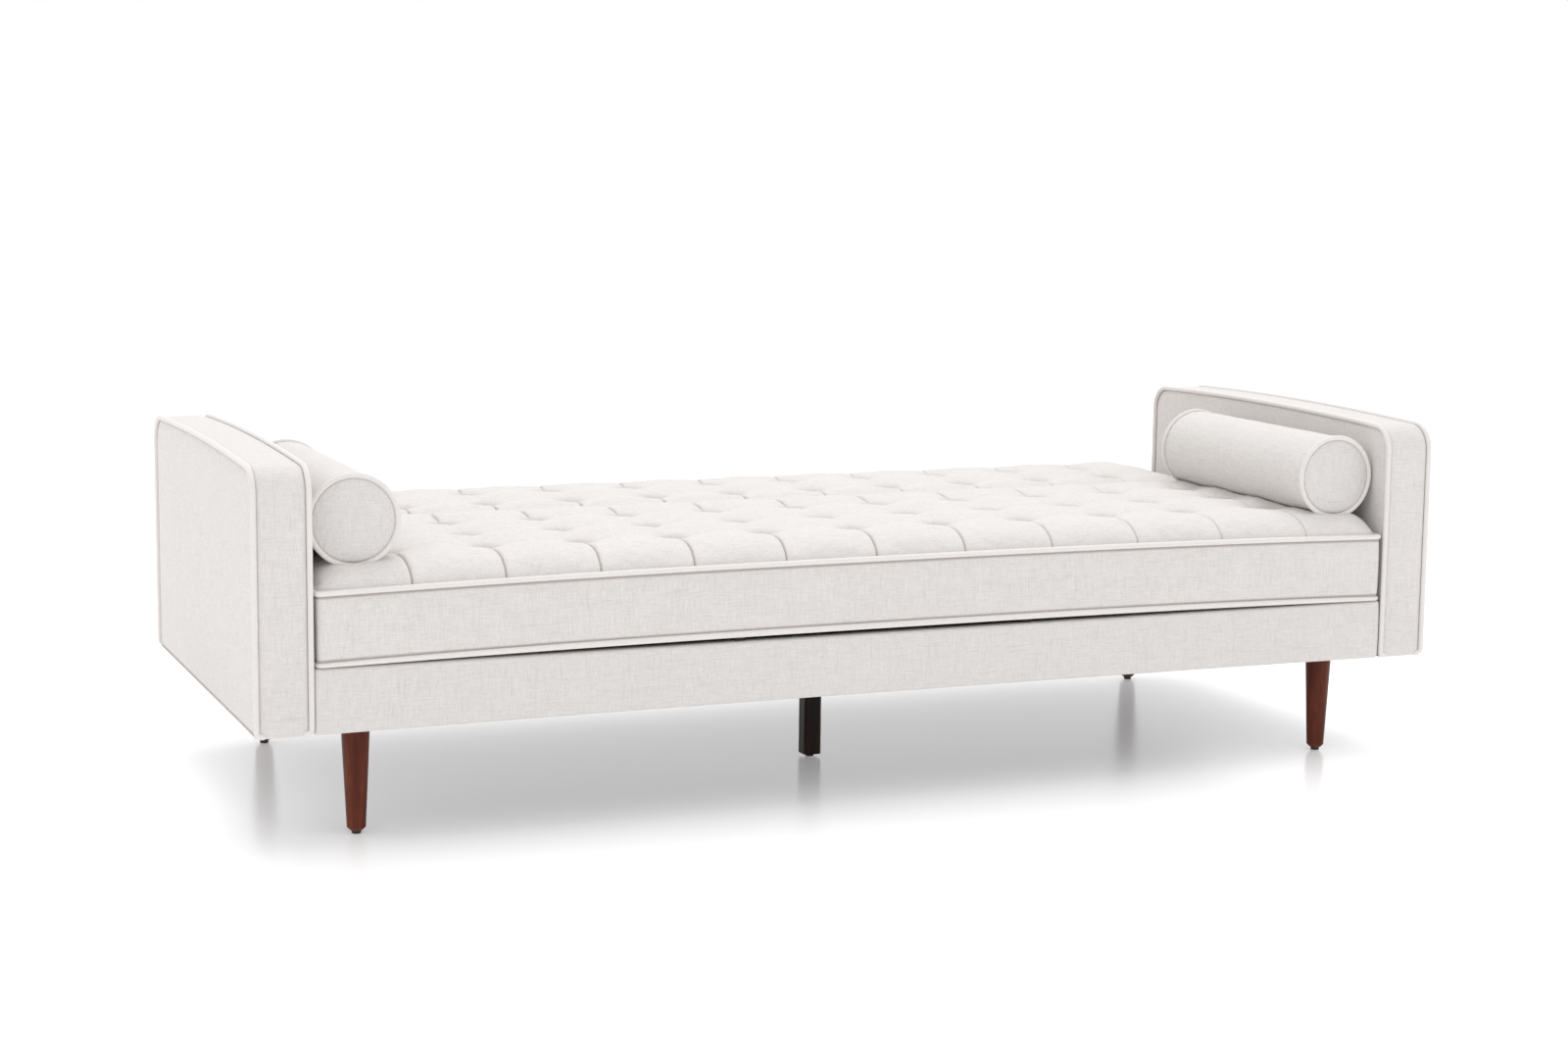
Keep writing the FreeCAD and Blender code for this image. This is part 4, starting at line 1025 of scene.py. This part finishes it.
def rail_cushion(low, high, front, bow_height):
    """A padded C of fabric over a rail's face, top and underside; front is -1 when it faces -Y."""
    thickness = 8 * MM
    face_y, inner_y = (low.y, high.y) if front < 0 else (high.y, low.y)
    into = -front
    deep = (inner_y - face_y) * into
    soft = 6 * MM
    close = (0.6 * MM, 2 * MM, 4 * MM, 7 * MM)
    stations = np.unique(np.r_[np.linspace(low.x, high.x, 150), [low.x + d for d in close],
                               [high.x - d for d in close]])
    rings = []
    for x in stations:
        edge = min(x - low.x, high.x - x)
        draw = soft - math.sqrt(max(0, soft ** 2 - max(0, soft - edge) ** 2))
        lift = bow_height * (1 - (abs(x) / high.x) ** 2.4)
        bottom, top = low.z + lift + draw * 0.6, high.z - draw * 0.4
        outer = [[deep, top - 1 * MM], [20 * MM, top]]
        outer += list(arc((soft + draw, top - soft), soft, 90, 180, 6))
        rise = np.linspace(0, 1, 14)[1:-1]
        swell = 1.6 * MM * (1 - (2 * rise - 1) ** 2)
        heights = top - soft - (top - bottom - 2 * soft) * rise
        uneven = 0.5 * MM * (wave(np.full_like(rise, x), heights * 2, 5.1) - 0.5)
        outer += [[draw - s - n, h] for s, n, h in zip(swell, uneven, heights)]
        outer += list(arc((soft + draw, bottom + soft), soft, 180, 270, 6))
        outer += [[20 * MM, bottom], [deep, bottom]]
        inner = [[deep, bottom + 2 * MM], [thickness + draw, low.z + thickness],
                 [thickness + draw, high.z - thickness], [deep, top - 3 * MM]]
        section = np.array([list(p) for p in outer + inner])
        rings.append(np.c_[np.full(len(section), x), face_y + into * section[:, 0], section[:, 1]])
    return capped_section(np.array(rings))


def capped_section(rings):
    """A closed bar through equal sections with flat polygon ends."""
    stations, size, _ = rings.shape
    faces = grid_faces(stations, size, close_columns=True)
    faces.append(tuple(range(size)))
    faces.append(tuple((stations - 1) * size + i for i in reversed(range(size))))
    return rings.reshape(-1, 3), faces


for cover, front, bowed in (("base_front_cover", -1, 3 * MM), ("base_rear_cover", 1, 0.0)):
    low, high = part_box(cover)
    rail_points, rail_faces = rail_cushion(low, high, front, bowed)
    upholstered(cover.replace("cover", "panel"), rail_points, rail_faces, (), "base", cover)


# ---- bolsters

def bolster(low, high, phase):
    """Closed round cushion: soft case with gathers at its end seams, painted shade in those seams, and
    crowned end panels.
    """
    axis_x, axis_z = (low.x + high.x) / 2, (low.z + high.z) / 2
    radius = (high.x - low.x) / 2
    length = high.y - low.y
    around = np.linspace(0, 2 * math.pi, 128, endpoint=False)
    ends = np.array([0, 1.5, 3, 5, 8, 12, 17])
    stations = np.unique(np.r_[ends, np.linspace(24, length / MM - 24, 50), length / MM - ends]) * MM
    rings, end_seam_shades = [], []
    for s in stations:
        near = min(s, length - s)
        # Painted shade in the end seams, just inside the piping rings.
        end_seam_shades.append(np.full(len(around), 0.6 * math.exp(-(max(0, near - 4.5 * MM) / (2 * MM)) ** 2)))
        seam_and_shade = -3.4 * MM * math.exp(-near / (5 * MM)) - 1.2 * MM * math.exp(-near / (25 * MM))
        ripple = np.sin(around * 23 + phase + 2.2 * np.sin(around * 3 + phase))
        gather = 0.55 * MM * ripple * math.exp(-near / (20 * MM))
        slow = 1.1 * MM * (wave(np.full_like(around, s * 2.2), around * 0.08, phase) - 0.5)
        r = radius - 0.6 * MM + seam_and_shade + (gather + slow) * min(1, near / (3 * MM))
        sag = np.clip(-np.sin(around), 0, 1) ** 6 * 1.8 * MM
        rings.append(np.stack([axis_x + r * np.cos(around), np.full_like(around, low.y + s),
                               axis_z + (r - sag) * np.sin(around)], 1))
    rings = np.array(rings)
    points, faces = capped_loft(rings, 7 * MM, cap_rings=14)
    return points, faces, np.concatenate(end_seam_shades)


for side in ("left", "right"):
    cover = side + "_bolster_cover"
    low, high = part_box(cover)
    body = side + "_bolster"
    points, faces, seam_and_shade = bolster(low, high, 0.6 if side == "left" else 3.9)
    upholstered(body + "_cushion", points, faces, seam_and_shade, body, cover)
    centre = (low + high) / 2
    ring_radius = (high.x - low.x) / 2 - 2 * MM
    for end, y in (("front", low.y + 1 * MM), ("rear", high.y - 1 * MM)):
        angle = np.linspace(0, 2 * math.pi, 180, endpoint=False)
        loop = np.stack([centre.x + ring_radius * np.cos(angle), np.full_like(angle, y),
                         centre.z + ring_radius * np.sin(angle)], 1)
        loop = resample(loop, PIPING_STEP, closed=True)
        piping(f"{body}_{end}_piping", loop, 4.4 * MM, body, closed=True)


# ---- back's outer side

panel_points, panel_faces, panel_stitch_shade = outer_panel(*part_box("back_outer_panel"))
panel = mesh_piece("back_outer_side", panel_points, panel_faces, linen, "back")
# Painted shade along the panel's stitched groove.
paint_seam_shade(panel, panel_stitch_shade)
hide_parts("back_outer_panel")


# ---- carried CAD nodes

for subpart in frame["record"]["subparts"]:
    carried = NODES[subpart["node"]].data
    carried.materials.clear()
    carried.materials.append(SLOT_MATERIALS[subpart["material_slot"]])

# ---- floor and light

world = bpy.data.worlds.new("studio")
bpy.context.scene.world = world
world.use_nodes = True
background = world.node_tree.nodes["Background"]
background.inputs[0].default_value = (1, 1, 1, 1)
background.inputs[1].default_value = 1.0

floor_mesh = bpy.data.meshes.new("floor")
floor_mesh.from_pydata([(-14, -10, 0), (14, -10, 0), (14, 18, 0), (-14, 18, 0)], [], [(0, 1, 2, 3)])
floor = placed("floor", floor_mesh)
floor_material, floor_tree, floor_shader, floor_position = base_material(
    "studio_floor", Roughness=0.2, **{"Specular IOR Level": 0.5, "Emission Color": (1, 1, 1, 1),
                                    "Emission Strength": 0.2}
)
floor_tone = noise(floor_tree, floor_position, 1.5, detail=2.0)
floor_stops = [(0.0, (0.93, 0.93, 0.935)), (1.0, (0.95, 0.95, 0.955))]
floor_tree.links.new(ramp(floor_tree, floor_tone.outputs[0], floor_stops), floor_shader.inputs["Base Color"])
floor.data.materials.append(floor_material)


def soft_sun(name, direction, angle_deg, strength):
    data = bpy.data.lights.new(name, "SUN")
    data.energy = strength
    data.angle = math.radians(angle_deg)
    lamp = placed(name, data)
    lamp.rotation_mode = "QUATERNION"
    lamp.rotation_quaternion = Vector(direction).to_track_quat("-Z", "Y")


soft_sun("overhead", (-0.12, -0.30, -1.0), 50, 1.15)

bpy.context.scene.view_settings.view_transform = "Standard"
